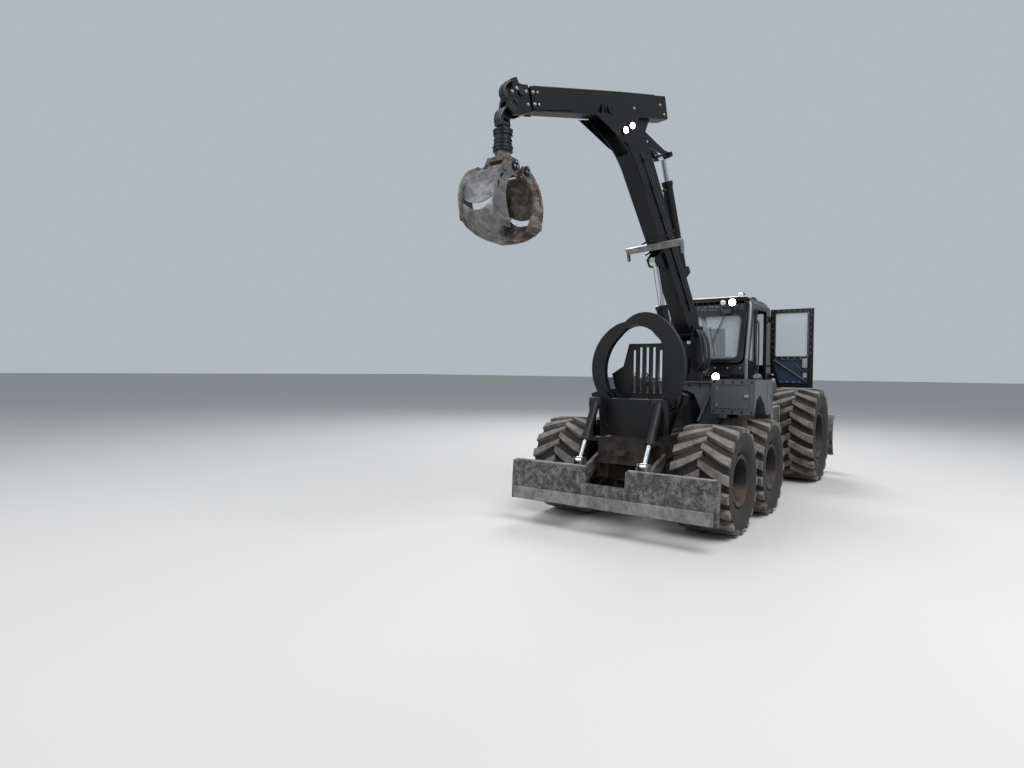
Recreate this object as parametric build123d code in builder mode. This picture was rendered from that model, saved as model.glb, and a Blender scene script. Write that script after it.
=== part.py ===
from build123d import *
import os
from math import cos, pi, radians, sin

os.makedirs("parts", exist_ok=True)

# A six-wheeled forestry skidder with a timber crane, in millimetres.
# +X is forward, +Y is the machine's left, +Z is up, and the ground is z = 0.

# Running clearances
SEAT_GAP = 0.3
RUNNING_GAP = 8.0
PIN_GAP = 0.08

# Stations along the machine, measured from the centre of the bogie
BOGIE_X = -1237.0
BOGIE_SPREAD = 1500.0
CRANE_X = BOGIE_X + 930.0
PIVOT_X = BOGIE_X + 2050.0
FRONT_AXLE_X = BOGIE_X + 4200.0
TRACK = 1990.0

# Wheels: tyre diameter, tyre width, rim radius, lugs a side, lug height
REAR_WHEEL = dict(diameter=1345.0, width=710.0, rim=322.0, lugs=16, lug=45.0)
FRONT_WHEEL = dict(diameter=1720.0, width=780.0, rim=425.0, lugs=19, lug=55.0)
RIM_WALL = 14.0
HUB_RADIUS = 165.0

# Rear frame
FRAME_HALF = 330.0
FRAME_LOW = 700.0
FRAME_TOP = 1150.0
FRAME_REAR = BOGIE_X - 1380.0
FRAME_WALL = 30.0

# Rear blade
BLADE_HALF = 1370.0
BLADE_FACE = BOGIE_X - 1840.0
BLADE_LOW = 310.0
BLADE_TOP = 810.0
BLADE_MIDDLE_TOP = 610.0
BLADE_PIVOT = (BOGIE_X - 1050.0, 900.0)
LIFT_BASE = (BOGIE_X - 1240.0, 1610.0)
LIFT_EYE = (BOGIE_X - 1665.0, 868.0)
LIFT_Y = 440.0
LUG = 26.0
BLADE_PIN = 38.0
TWIN_BORE = 55.0
TWIN_ROD = 30.0
TWIN_HALF = 58.0
TWIN_EYE_HALF = 40.0

# Crane: slewed from straight back towards the left
SLEW_AT_REST = 15.0
SLEW_Z = 1750.0
FOOT = (-20.0, 2636.0)
BOOM_ANGLE = 61.0
KNUCKLE = (3490.0, -386.0)
OUTER_ANGLE = -13.0
BOOM_HALF = 130.0
OUTER_DEPTH = 325.0
CHEEK = 28.0

# Cab
CAB_REAR = BOGIE_X + 1640.0
CAB_REAR_TOP = BOGIE_X + 1950.0
CAB_FRONT = BOGIE_X + 3230.0
CAB_FRONT_TOP = BOGIE_X + 3080.0
CAB_FLOOR = 1480.0
CAB_SILL = 2180.0
CAB_TOP = 3240.0
CAB_HALF = 700.0
CAB_HALF_TOP = 590.0
CAB_WALL = 55.0
DOOR_X = BOGIE_X + 2880.0
DOOR_WIDTH = 690.0
DOOR_LOW = 1760.0
DOOR_TOP = 3110.0
DOOR_THICK = 45.0


def flat(plane, points, width, mode=Mode.ADD):
    """A plate with straight edges, half its width each side of a plane."""
    with BuildSketch(plane) as outline:
        with BuildLine():
            Polyline(*points, close=True)
        make_face()
    extrude(outline.sketch, amount=width / 2, both=True, mode=mode)


def bar(start, end, radius, mode=Mode.ADD):
    """A round bar from one point to another."""
    run = Vector(*end) - Vector(*start)
    with BuildSketch(Plane(origin=start, z_dir=run)) as section:
        Circle(radius)
    extrude(section.sketch, amount=run.length, mode=mode)


def block(low, high, mode=Mode.ADD):
    """A block between two corners."""
    size = [b - a for a, b in zip(low, high)]
    with Locations(tuple((a + b) / 2 for a, b in zip(low, high))):
        Box(*size, mode=mode)


def save(builder, name):
    builder.part.label = name
    export_step(builder.part, f"parts/{name}.step")


def side(y):
    """The upright plane at y, seen from the right: local x is forward, local y is up."""
    return Plane(origin=(0, y, 0), x_dir=(1, 0, 0), z_dir=(0, -1, 0))


# Wheels
WHEELS = [
    # name, wheel, x, side
    ("rear_right", REAR_WHEEL, BOGIE_X - BOGIE_SPREAD / 2, -1),
    ("mid_right", REAR_WHEEL, BOGIE_X + BOGIE_SPREAD / 2, -1),
    ("front_right", FRONT_WHEEL, FRONT_AXLE_X, -1),
    ("rear_left", REAR_WHEEL, BOGIE_X - BOGIE_SPREAD / 2, 1),
    ("mid_left", REAR_WHEEL, BOGIE_X + BOGIE_SPREAD / 2, 1),
    ("front_left", FRONT_WHEEL, FRONT_AXLE_X, 1),
]
RADIAL = Plane(origin=(0, 0, 0), x_dir=(0, 1, 0), z_dir=(1, 0, 0))


def disc_face(wheel):
    """How far the rim's mounting face is inboard or outboard of the tyre's middle."""
    return wheel["width"] * 0.15 - 40


def make_tyre(wheel):
    """A tyre about the Y axis with a ring of slanted lugs each side of its middle."""
    radius, half, rim, lug = wheel["diameter"] / 2, wheel["width"] / 2, wheel["rim"], wheel["lug"]
    tread = radius - lug
    pitch = 360 / wheel["lugs"]
    step = 2 * pi * radius / wheel["lugs"]
    lean = half * 0.45
    lugs = []
    for row in (-1, 1):
        with BuildSketch(Plane.XY.offset(tread - lug * 0.5)) as foot:
            with BuildLine():
                Polyline(
                    (lean, row * half * 0.03),
                    (lean - step * 0.36, row * half * 0.03),
                    (-lean - step * 0.05, row * half * 0.97),
                    (-lean + step * 0.36, row * half * 0.97),
                    close=True,
                )
            make_face()
        one = extrude(foot.sketch, amount=lug * 1.5, mode=Mode.PRIVATE)
        for n in range(wheel["lugs"]):
            lugs.append(one.rotate(Axis.Y, (n + (0.5 if row > 0 else 0)) * pitch))
    with BuildPart() as tyre:
        with BuildSketch(RADIAL) as section:
            with BuildLine():
                Polyline(
                    (-half * 0.86, rim),
                    (-half, rim + (tread - rim) * 0.45),
                    (-half * 0.97, tread * 0.95),
                    (-half * 0.80, tread),
                    (half * 0.80, tread),
                    (half * 0.97, tread * 0.95),
                    (half, rim + (tread - rim) * 0.45),
                    (half * 0.86, rim),
                    close=True,
                )
            make_face()
        revolve(section.sketch, axis=Axis.Y, revolution_arc=360)
        add(lugs)
        with BuildSketch(Plane.XZ) as tip:
            Circle(radius)
        extrude(tip.sketch, amount=half, both=True, mode=Mode.INTERSECT)
    return tyre.part


def make_rim(wheel):
    """A rim about the Y axis, its face towards -Y."""
    half, rim = wheel["width"] / 2, wheel["rim"]
    out, face = half * 0.86, -disc_face(wheel)
    with BuildPart() as wheel_rim:
        with BuildSketch(RADIAL) as section:
            with BuildLine():
                Polyline(
                    (-out, rim - SEAT_GAP),
                    (-out, rim - 3 * RIM_WALL),
                    (-out * 0.6, rim - 4 * RIM_WALL),
                    (face - 60, rim - 4 * RIM_WALL),
                    (face - 40, HUB_RADIUS),
                    (face - 110, HUB_RADIUS - 15),
                    (face - 110, 0),
                    (face, 0),
                    (face, HUB_RADIUS),
                    (face, rim - 5 * RIM_WALL),
                    (out * 0.7, rim - 4 * RIM_WALL),
                    (out, rim - 3 * RIM_WALL),
                    (out, rim - SEAT_GAP),
                    close=True,
                )
            make_face()
        revolve(section.sketch, axis=Axis.Y, revolution_arc=360)
    return wheel_rim.part


TYRES = {wheel["width"]: (make_tyre(wheel), make_rim(wheel)) for wheel in (REAR_WHEEL, FRONT_WHEEL)}
for wheel_name, wheel, wheel_x, hand in WHEELS:
    centre = (wheel_x, hand * TRACK / 2, wheel["diameter"] / 2)
    whole_tyre, whole_rim = TYRES[wheel["width"]]
    with BuildPart() as tyre:
        with Locations(centre):
            add(whole_tyre)
    save(tyre, f"tyre_{wheel_name}")
    with BuildPart() as wheel_rim:
        with Locations(centre):
            add(whole_rim, rotation=(0, 0, 0 if hand < 0 else 180))
    save(wheel_rim, f"rim_{wheel_name}")

# Bogie: a walking beam each side, its hubs and the cross tube
BEAM_Y = 500.0
BEAM_HALF = 85.0
with BuildPart() as bogie_beams:
    wheel_z = REAR_WHEEL["diameter"] / 2
    for hand in (-1, 1):
        beam = side(hand * BEAM_Y)
        span = BOGIE_SPREAD / 2
        flat(
            beam,
            [
                (BOGIE_X - span - 170, wheel_z - 120),
                (BOGIE_X - span + 60, wheel_z - 190),
                (BOGIE_X + span - 60, wheel_z - 190),
                (BOGIE_X + span + 170, wheel_z - 120),
                (BOGIE_X + span + 170, wheel_z + 120),
                (BOGIE_X + span - 60, wheel_z + 160),
                (BOGIE_X, wheel_z + 240),
                (BOGIE_X - span + 60, wheel_z + 160),
                (BOGIE_X - span - 170, wheel_z + 120),
            ],
            2 * BEAM_HALF,
        )
        rim_back = TRACK / 2 + disc_face(REAR_WHEEL)
        for x in (BOGIE_X - span, BOGIE_X + span):
            bar((x, hand * BEAM_Y, wheel_z), (x, hand * (rim_back - SEAT_GAP), wheel_z), HUB_RADIUS - 30)
    bar((BOGIE_X, -BEAM_Y, wheel_z), (BOGIE_X, BEAM_Y, wheel_z), 150)
save(bogie_beams, "bogie_beams")

# Rear frame: a box frame on the bogie tube, open ears at the centre pivot, crane pedestal
PIVOT_PIN = 55.0
EAR_HALF = 150.0
EAR_START = PIVOT_X - 410.0
HITCH_X = FRAME_REAR - 90.0
HITCH_Z = 980.0
HITCH_THICK = 60.0
HITCH_BORE = 27.0
NECK_START = PIVOT_X - 680.0
NECK = 235.0
STEER_Z = 925.0
STEER_BASE = (PIVOT_X - 560.0, 400.0)
STEER_EYE = (PIVOT_X + 420.0, 345.0)
STEER_SIZE = (48.0, 620.0, 26.0, 331.0, 53.0, 30.0)
with BuildPart() as rear_frame:
    flat(
        side(0),
        [
            (FRAME_REAR, FRAME_LOW + 120),
            (BOGIE_X - 500, FRAME_LOW + 160),
            (BOGIE_X + 600, FRAME_LOW + 160),
            (BOGIE_X + 1300, FRAME_LOW),
            (NECK_START, FRAME_LOW),
            (NECK_START, FRAME_TOP),
            (FRAME_REAR, FRAME_TOP),
        ],
        2 * FRAME_HALF,
    )
    block(
        (FRAME_REAR + 300, -FRAME_HALF + FRAME_WALL, FRAME_LOW + 160 + FRAME_WALL),
        (BOGIE_X + 500, FRAME_HALF - FRAME_WALL, FRAME_TOP - FRAME_WALL),
        mode=Mode.SUBTRACT,
    )
    for x_low in (FRAME_REAR + 380, BOGIE_X + 170):
        block(
            (x_low, -FRAME_HALF + 60, FRAME_LOW),
            (x_low + 300, FRAME_HALF - 60, FRAME_TOP - FRAME_WALL),
            mode=Mode.SUBTRACT,
        )
    block((NECK_START - 5, -NECK, FRAME_LOW), (EAR_START, NECK, FRAME_TOP))
    for z in (FRAME_LOW + 10, FRAME_TOP - 80):
        with BuildSketch(Plane.XY.offset(z)) as ear:
            with BuildLine():
                Polyline(
                    (EAR_START - 5, -NECK),
                    (PIVOT_X, -EAR_HALF),
                    (PIVOT_X, EAR_HALF),
                    (EAR_START - 5, NECK),
                    close=True,
                )
            make_face()
            with Locations((PIVOT_X, 0)):
                Circle(EAR_HALF)
            with Locations((PIVOT_X, 0)):
                Circle(PIVOT_PIN + PIN_GAP, mode=Mode.SUBTRACT)
        extrude(ear.sketch, amount=70)
    with BuildSketch(Plane.XY.offset(HITCH_Z - HITCH_THICK / 2)) as hitch:
        with Locations((FRAME_REAR - 20, 0)):
            Rectangle(120, 180)
        with Locations((HITCH_X, 0)):
            Circle(90)
            Circle(HITCH_BORE, mode=Mode.SUBTRACT)
    extrude(hitch.sketch, amount=HITCH_THICK)
    with BuildSketch(Plane.XY.offset(FRAME_TOP - 5)) as pedestal:
        with Locations((CRANE_X, 0)):
            Circle(290)
    extrude(pedestal.sketch, amount=SLEW_Z - FRAME_TOP + 5 - SEAT_GAP, taper=3)
    for hand in (-1, 1):
        for z in (STEER_Z - STEER_SIZE[4] - SEAT_GAP - LUG, STEER_Z + STEER_SIZE[4] + SEAT_GAP):
            block(
                (STEER_BASE[0] - 50, min(hand * (NECK - 5), hand * (STEER_BASE[1] + 45)), z),
                (STEER_BASE[0] + 50, max(hand * (NECK - 5), hand * (STEER_BASE[1] + 45)), z + LUG),
            )
        bar(
            (BLADE_PIVOT[0], hand * (FRAME_HALF - 10), BLADE_PIVOT[1]),
            (BLADE_PIVOT[0], hand * (LIFT_Y - 25 - SEAT_GAP), BLADE_PIVOT[1]),
            55,
        )
        bar(
            (BLADE_PIVOT[0], hand * (FRAME_HALF - 10), BLADE_PIVOT[1]),
            (BLADE_PIVOT[0], hand * (LIFT_Y + 25), BLADE_PIVOT[1]),
            BLADE_PIN,
        )
        for reach in (-1, 1):
            flat(
                side(hand * LIFT_Y + reach * (TWIN_HALF + SEAT_GAP + LUG / 2)),
                [
                    (LIFT_BASE[0] - 50, LIFT_BASE[1] - 40),
                    (LIFT_BASE[0] - 40, LIFT_BASE[1] + 45),
                    (LIFT_BASE[0] + 45, LIFT_BASE[1] + 45),
                    (LIFT_BASE[0] + 110, LIFT_BASE[1] - 60),
                    (LIFT_BASE[0] + 120, FRAME_TOP - 60),
                    (LIFT_BASE[0] + 30, FRAME_TOP - 60),
                ],
                LUG,
            )
        block(
            (LIFT_BASE[0] + 10, min(hand * (FRAME_HALF - 5), hand * (LIFT_Y + TWIN_HALF + LUG)), FRAME_TOP - 70),
            (LIFT_BASE[0] + 120, max(hand * (FRAME_HALF - 5), hand * (LIFT_Y + TWIN_HALF + LUG)), FRAME_TOP - 20),
        )
    flat(
        side(0),
        [
            (BOGIE_X - 260, FRAME_LOW + 200),
            (BOGIE_X - 200, 640),
            (BOGIE_X + 200, 640),
            (BOGIE_X + 260, FRAME_LOW + 200),
        ],
        2 * FRAME_HALF,
    )
    bar(
        (BOGIE_X, -400, REAR_WHEEL["diameter"] / 2),
        (BOGIE_X, 400, REAR_WHEEL["diameter"] / 2),
        150 + SEAT_GAP,
        Mode.SUBTRACT,
    )
save(rear_frame, "rear_frame")

# Rear blade, hung beside the tail of the frame on two arms
with BuildPart() as rear_blade:
    with BuildSketch(side(0)) as blade_side:
        with BuildLine():
            Polyline(
                (BLADE_FACE + 20, BLADE_TOP),
                (BLADE_FACE + 120, BLADE_TOP),
                (BLADE_FACE + 100, BLADE_TOP - 40),
                (BLADE_FACE + 60, BLADE_TOP - 60),
                (BLADE_FACE + 40, (BLADE_LOW + BLADE_TOP) / 2),
                (BLADE_FACE + 70, BLADE_LOW + 20),
                (BLADE_FACE + 30, BLADE_LOW),
                (BLADE_FACE - 10, BLADE_LOW),
                (BLADE_FACE, (BLADE_LOW + BLADE_TOP) / 2),
                close=True,
            )
        make_face()
    extrude(blade_side.sketch, amount=BLADE_HALF, both=True)
    block(
        (BLADE_FACE - 50, -270, BLADE_MIDDLE_TOP),
        (BLADE_FACE + 200, 270, BLADE_TOP + 50),
        mode=Mode.SUBTRACT,
    )
    for hand in (-1, 1):
        flat(
            side(hand * (BLADE_HALF - 12)),
            [
                (BLADE_FACE - 8, BLADE_LOW - 4),
                (BLADE_FACE + 85, BLADE_LOW + 10),
                (BLADE_FACE + 130, BLADE_TOP - 60),
                (BLADE_FACE + 122, BLADE_TOP + 2),
                (BLADE_FACE + 16, BLADE_TOP + 2),
                (BLADE_FACE - 4, (BLADE_LOW + BLADE_TOP) / 2),
            ],
            24,
        )
        flat(
            side(hand * LIFT_Y),
            [
                (BLADE_FACE + 30, BLADE_LOW + 60),
                (BLADE_PIVOT[0], BLADE_PIVOT[1] - 60),
                (BLADE_PIVOT[0] + 60, BLADE_PIVOT[1]),
                (BLADE_PIVOT[0], BLADE_PIVOT[1] + 60),
                (BLADE_FACE + 60, BLADE_TOP - 130),
            ],
            50,
        )
        for reach in (-1, 1):
            flat(
                side(hand * LIFT_Y + reach * (TWIN_EYE_HALF + RUNNING_GAP + LUG / 2)),
                [
                    (BLADE_FACE + 30, BLADE_TOP - 200),
                    (LIFT_EYE[0] + 45, LIFT_EYE[1] - 40),
                    (LIFT_EYE[0] + 45, LIFT_EYE[1] + 30),
                    (LIFT_EYE[0] - 30, LIFT_EYE[1] + 40),
                    (BLADE_FACE + 50, BLADE_TOP - 20),
                ],
                LUG,
            )
        bar(
            (BLADE_PIVOT[0], hand * (LIFT_Y - 30), BLADE_PIVOT[1]),
            (BLADE_PIVOT[0], hand * (LIFT_Y + 30), BLADE_PIVOT[1]),
            BLADE_PIN + PIN_GAP,
            Mode.SUBTRACT,
        )
save(rear_blade, "rear_blade")

SLEW_TURN = radians(SLEW_AT_REST)
OUT = (-cos(SLEW_TURN), sin(SLEW_TURN), 0)
INWARD = (cos(SLEW_TURN), -sin(SLEW_TURN), 0)
ACROSS = (sin(SLEW_TURN), cos(SLEW_TURN), 0)
CRANE_SIDE = Plane(origin=(CRANE_X, 0, 0), x_dir=OUT, z_dir=ACROSS)


def tilted(plane, origin, angle):
    """A plane in the crane's own upright plane, turned by an angle about a point of it."""
    centre = plane.from_local_coords(Vector(*origin, 0))
    ahead = plane.x_dir * cos(radians(angle)) + plane.y_dir * sin(radians(angle))
    return Plane(origin=centre, x_dir=ahead, z_dir=plane.z_dir)


def point(plane, x, y, z=0.0):
    """A point of a plane's own frame, in the machine's frame."""
    return tuple(plane.from_local_coords(Vector(x, y, z)))


def level_plane(plane, reach):
    """A plane moved sideways along its own normal."""
    return Plane(origin=point(plane, 0, 0, reach), x_dir=plane.x_dir, z_dir=plane.z_dir)


MAIN = tilted(CRANE_SIDE, FOOT, BOOM_ANGLE)
OUTER = tilted(MAIN, KNUCKLE, OUTER_ANGLE - BOOM_ANGLE)

# Crane column: turns on the pedestal, carries the boom's foot and the lift cylinder
LIFT_LOW = (400.0, 1960.0)
LIFT_TOP = (1300.0, -275.0)
LIFT_POCKET = (1195.0, 1455.0, -122.0)
LIFT_SIZE = (85.0, 1080.0, 45.0, 760.0, 92.0, 50.0)
COLUMN_LUG = 35.0
FOOT_PIN = 55.0
KNUCKLE_PIN = 45.0
with BuildPart() as crane_column:
    with BuildSketch(Plane.XY.offset(SLEW_Z)) as turret:
        with Locations((CRANE_X, 0)):
            Circle(260)
    extrude(turret.sketch, amount=60)
    with BuildSketch(Plane.XY.offset(SLEW_Z + 60)) as turret_top:
        with Locations((CRANE_X, 0)):
            Circle(260)
    extrude(turret_top.sketch, amount=170, taper=4)
    flat(
        CRANE_SIDE,
        [(-170, SLEW_Z + 200), (170, SLEW_Z + 200), (130, 2500), (110, 2720), (-150, 2720), (-170, 2500)],
        2 * (BOOM_HALF + CHEEK + RUNNING_GAP),
    )
    flat(
        CRANE_SIDE,
        [(-300, 2440), (300, 2440), (300, 2900), (-300, 2900)],
        2 * (BOOM_HALF + RUNNING_GAP),
        Mode.SUBTRACT,
    )
    for hand in (-1, 1):
        flat(
            level_plane(CRANE_SIDE, hand * (LIFT_SIZE[4] + SEAT_GAP + COLUMN_LUG / 2)),
            [
                (100, SLEW_Z + 60),
                (LIFT_LOW[0] + 60, LIFT_LOW[1] - 70),
                (LIFT_LOW[0] + 60, LIFT_LOW[1] + 70),
                (120, 2250),
            ],
            COLUMN_LUG,
        )
    bar(point(CRANE_SIDE, *FOOT, -150), point(CRANE_SIDE, *FOOT, 150), FOOT_PIN)
save(crane_column, "crane_column")


def cylinder(plane, base, eye, size, name):
    """A hydraulic cylinder in a plane, as two nodes: its barrel and its rod.

    size gives the barrel's radius and length, the rod's radius, how far the rod's tail lies
    from the base, and half the width of the base eye and of the rod's eye.
    """
    bore, barrel_length, rod, tail, base_half, eye_half = size
    base_at, eye_at = Vector(*point(plane, *base)), Vector(*point(plane, *eye))
    along = (eye_at - base_at).normalized()
    across = plane.z_dir
    with BuildPart() as barrel:
        bar(tuple(base_at), tuple(base_at + along * barrel_length), bore)
        bar(tuple(base_at - across * base_half), tuple(base_at + across * base_half), bore * 0.95)
        bar(tuple(base_at + along * (barrel_length - 60)), tuple(base_at + along * barrel_length), bore + 12)
        bar(
            tuple(base_at + along * (bore + 15)),
            tuple(base_at + along * (barrel_length + 20)),
            rod + PIN_GAP,
            Mode.SUBTRACT,
        )
    save(barrel, f"{name}_barrel")
    with BuildPart() as piston_rod:
        bar(tuple(base_at + along * tail), tuple(eye_at), rod)
        bar(tuple(eye_at - across * eye_half), tuple(eye_at + across * eye_half), rod * 1.6)
    save(piston_rod, f"{name}_rod")


lift_eye_at = MAIN.from_local_coords(Vector(*LIFT_TOP, 0))
lift_eye = CRANE_SIDE.to_local_coords(lift_eye_at)
cylinder(CRANE_SIDE, LIFT_LOW, (lift_eye.X, lift_eye.Y), LIFT_SIZE, "lift")

# Main boom: box boom on its foot pin, gooseneck fork at the knuckle
ROCKER_ROOT = (2850.0, 245.0)
ELBOW = (2600.0, 610.0)
FOLD_BASE = (900.0, 270.0)
FOLD_SIZE = (70.0, 1370.0, 38.0, 690.0, 76.0, 42.0)
FOLD_LUG = 30.0
FORK_START = 2870.0
with BuildPart() as main_boom:
    with BuildSketch(MAIN) as boom_side:
        with BuildLine():
            Polyline((-110, 90), (-110, -90), (200, -150), (1180, -165), (2550, -215))
            ThreePointArc((2550, -215), (2960, -282), (3270, -460))
            Line((3270, -460), (3380, -540))
            ThreePointArc((3380, -540), (3560, -530), (3640, -400))
            ThreePointArc((3640, -400), (3560, -190), (3400, -60))
            ThreePointArc((3400, -60), (3120, 120), (2850, 185))
            Polyline((2850, 185), (2500, 190), (1180, 160), (200, 150), (-110, 90))
        make_face()
        with Locations((0, 0)):
            Circle(120)
    extrude(boom_side.sketch, amount=BOOM_HALF, both=True)
    flat(
        MAIN,
        [(FORK_START, -700), (3900, -700), (3900, 500), (FORK_START, 500)],
        2 * (BOOM_HALF - CHEEK),
        Mode.SUBTRACT,
    )
    for hand in (-1, 1):
        flat(
            level_plane(MAIN, hand * (LIFT_SIZE[5] + RUNNING_GAP + COLUMN_LUG / 2)),
            [
                (LIFT_TOP[0] - 180, -150),
                (LIFT_TOP[0] - 60, LIFT_TOP[1] - 65),
                (LIFT_TOP[0] + 60, LIFT_TOP[1] - 65),
                (LIFT_TOP[0] + 130, -150),
            ],
            COLUMN_LUG,
        )
        flat(
            level_plane(MAIN, hand * (FOLD_SIZE[4] + SEAT_GAP + FOLD_LUG / 2)),
            [
                (FOLD_BASE[0] - 90, 140),
                (FOLD_BASE[0] - 40, FOLD_BASE[1] + 50),
                (FOLD_BASE[0] + 60, FOLD_BASE[1] + 50),
                (FOLD_BASE[0] + 130, 140),
            ],
            FOLD_LUG,
        )
    flat(
        MAIN,
        [
            (ROCKER_ROOT[0] - 60, 180),
            (ROCKER_ROOT[0] - 30, ROCKER_ROOT[1] + 30),
            (ROCKER_ROOT[0] + 30, ROCKER_ROOT[1] + 30),
            (ROCKER_ROOT[0] + 60, 180),
        ],
        70,
    )
    flat(
        MAIN,
        [
            (LIFT_POCKET[0], -240),
            (LIFT_POCKET[1], -240),
            (LIFT_POCKET[1], LIFT_POCKET[2] - 30),
            (LIFT_POCKET[1] - 40, LIFT_POCKET[2]),
            (LIFT_POCKET[0] + 30, LIFT_POCKET[2]),
            (LIFT_POCKET[0], LIFT_POCKET[2] - 20),
        ],
        2 * (LIFT_SIZE[5] + RUNNING_GAP),
        Mode.SUBTRACT,
    )
    bar(point(MAIN, 0, 0, -150), point(MAIN, 0, 0, 150), FOOT_PIN + PIN_GAP, Mode.SUBTRACT)
    for hand in (-1, 1):
        bar(point(MAIN, *KNUCKLE, hand * 80), point(MAIN, *KNUCKLE, hand * 115), KNUCKLE_PIN)
        bar(point(MAIN, *KNUCKLE, hand * (BOOM_HALF - 5)), point(MAIN, *KNUCKLE, hand * (BOOM_HALF + 12)), 110)
        bar(point(MAIN, 0, 0, hand * (BOOM_HALF - 5)), point(MAIN, 0, 0, hand * (BOOM_HALF + 5)), 105)
    bar(point(MAIN, 0, 0, -150), point(MAIN, 0, 0, 150), FOOT_PIN + PIN_GAP, Mode.SUBTRACT)
save(main_boom, "main_boom")
cylinder(MAIN, FOLD_BASE, ELBOW, FOLD_SIZE, "fold")

# Knuckle links: the rocker on the main boom and the pull link on the outer boom
GUSSET = (-705.0, -257.0)


def link_plates(builder_plane, start, end, reach, thick, eye):
    """Two like plates, a distance each side of a plane, round at both ends."""
    for hand in (-1, 1):
        level = Plane(
            origin=point(builder_plane, 0, 0, hand * reach), x_dir=builder_plane.x_dir, z_dir=builder_plane.z_dir
        )
        with BuildSketch(level) as plate:
            with BuildLine():
                Line(start, end)
            trace(line_width=2 * eye * 0.8)
            with Locations(start, end):
                Circle(eye)
        extrude(plate.sketch, amount=thick / 2, both=True)


gusset_on_main = MAIN.to_local_coords(Vector(*point(OUTER, *GUSSET)))
with BuildPart() as knuckle_rocker:
    link_plates(MAIN, ROCKER_ROOT, ELBOW, 97.0, 22.0, 45.0)
    bar(point(MAIN, *ROCKER_ROOT, -110), point(MAIN, *ROCKER_ROOT, -35.3), 22)
    bar(point(MAIN, *ROCKER_ROOT, 35.3), point(MAIN, *ROCKER_ROOT, 110), 22)
    bar(point(MAIN, *ELBOW, 88), point(MAIN, *ELBOW, 150), 40)
    bar(point(MAIN, *ELBOW, -150), point(MAIN, *ELBOW, -88), 40)
save(knuckle_rocker, "knuckle_rocker")
with BuildPart() as knuckle_link:
    link_plates(MAIN, ELBOW, (gusset_on_main.X, gusset_on_main.Y), 66.0, 20.0, 45.0)
    for hand in (-1, 1):
        bar(
            point(OUTER, *GUSSET, hand * 40.3),
            point(OUTER, *GUSSET, hand * 72),
            30,
        )
save(knuckle_link, "knuckle_link")

# Outer boom: box section with a bracket for the link and the work lamps
OUTER_REAR = -1300.0
OUTER_FRONT = 1370.0
OUTER_MID = 90.0
EXT_HALF = 72.0
EXT_DEPTH = 230.0
with BuildPart() as outer_boom:
    low, high = OUTER_MID - OUTER_DEPTH / 2, OUTER_MID + OUTER_DEPTH / 2
    half_in_fork = BOOM_HALF - CHEEK - RUNNING_GAP
    with BuildSketch(OUTER) as outer_side:
        with BuildLine():
            Polyline(
                (OUTER_REAR, low),
                (OUTER_FRONT, low + 25),
                (OUTER_FRONT, high - 25),
                (OUTER_REAR, high),
                close=True,
            )
        make_face()
    extrude(outer_side.sketch, amount=half_in_fork, both=True)
    flat(
        OUTER,
        [
            (-940, low + 5),
            (GUSSET[0] - 60, GUSSET[1] - 50),
            (GUSSET[0] + 50, GUSSET[1] - 50),
            (-600, low - 60),
            (-600, low + 5),
        ],
        80,
    )
    flat(
        OUTER,
        [
            (OUTER_REAR + 80, OUTER_MID - EXT_DEPTH / 2 - SEAT_GAP),
            (OUTER_FRONT + 10, OUTER_MID - EXT_DEPTH / 2 - SEAT_GAP),
            (OUTER_FRONT + 10, OUTER_MID + EXT_DEPTH / 2 + SEAT_GAP),
            (OUTER_REAR + 80, OUTER_MID + EXT_DEPTH / 2 + SEAT_GAP),
        ],
        2 * (EXT_HALF + SEAT_GAP),
        Mode.SUBTRACT,
    )
    for hand in (-1, 1):
        bar(
            point(OUTER, 0, 0, hand * 70),
            point(OUTER, 0, 0, hand * 100),
            KNUCKLE_PIN + PIN_GAP,
            Mode.SUBTRACT,
        )
        level = level_plane(OUTER, hand * (half_in_fork + 7))
        flat(level, [(700, low + 50), (1340, low + 28), (1340, high - 28), (760, high - 60)], 16)
    block_rear = [(OUTER_REAR - 25, low + 20), (OUTER_REAR + 10, low + 20), (OUTER_REAR + 10, high - 10), (OUTER_REAR - 25, high - 10)]
    flat(OUTER, block_rear, 2 * half_in_fork - 30)
save(outer_boom, "outer_boom")

# Extension: slides in the outer boom and carries the nose
NOSE = (1700.0, -25.0)
HANG_OUT = 62.0
EXT_REAR = -700.0
with BuildPart() as extension:
    level = OUTER_MID
    flat(
        OUTER,
        [
            (EXT_REAR, level - EXT_DEPTH / 2),
            (OUTER_FRONT + 60, level - EXT_DEPTH / 2),
            (OUTER_FRONT + 60, level + EXT_DEPTH / 2),
            (EXT_REAR, level + EXT_DEPTH / 2),
        ],
        2 * EXT_HALF,
    )
    with BuildSketch(OUTER) as head:
        with BuildLine():
            Polyline(
                (OUTER_FRONT + 20, level - 150),
                (NOSE[0] - 150, NOSE[1] - 75),
                (NOSE[0], NOSE[1] - 75),
                (NOSE[0] + 70, NOSE[1]),
                (NOSE[0] + 30, NOSE[1] + 110),
                (NOSE[0] - 60, level + 130),
                (NOSE[0] - 90, level + 230),
                (NOSE[0] - 150, level + 240),
                (NOSE[0] - 170, level + 165),
                (OUTER_FRONT + 20, level + 160),
                close=True,
            )
        make_face()
    extrude(head.sketch, amount=EXT_HALF + 15, both=True)
    flat(
        OUTER,
        [
            (NOSE[0] - 165, NOSE[1] - 140),
            (NOSE[0] + 140, NOSE[1] - 140),
            (NOSE[0] + 140, NOSE[1] + 90),
            (NOSE[0] - 110, NOSE[1] + 90),
            (NOSE[0] - 165, NOSE[1] + 20),
        ],
        2 * 48,
        Mode.SUBTRACT,
    )
save(extension, "boom_extension")

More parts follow.
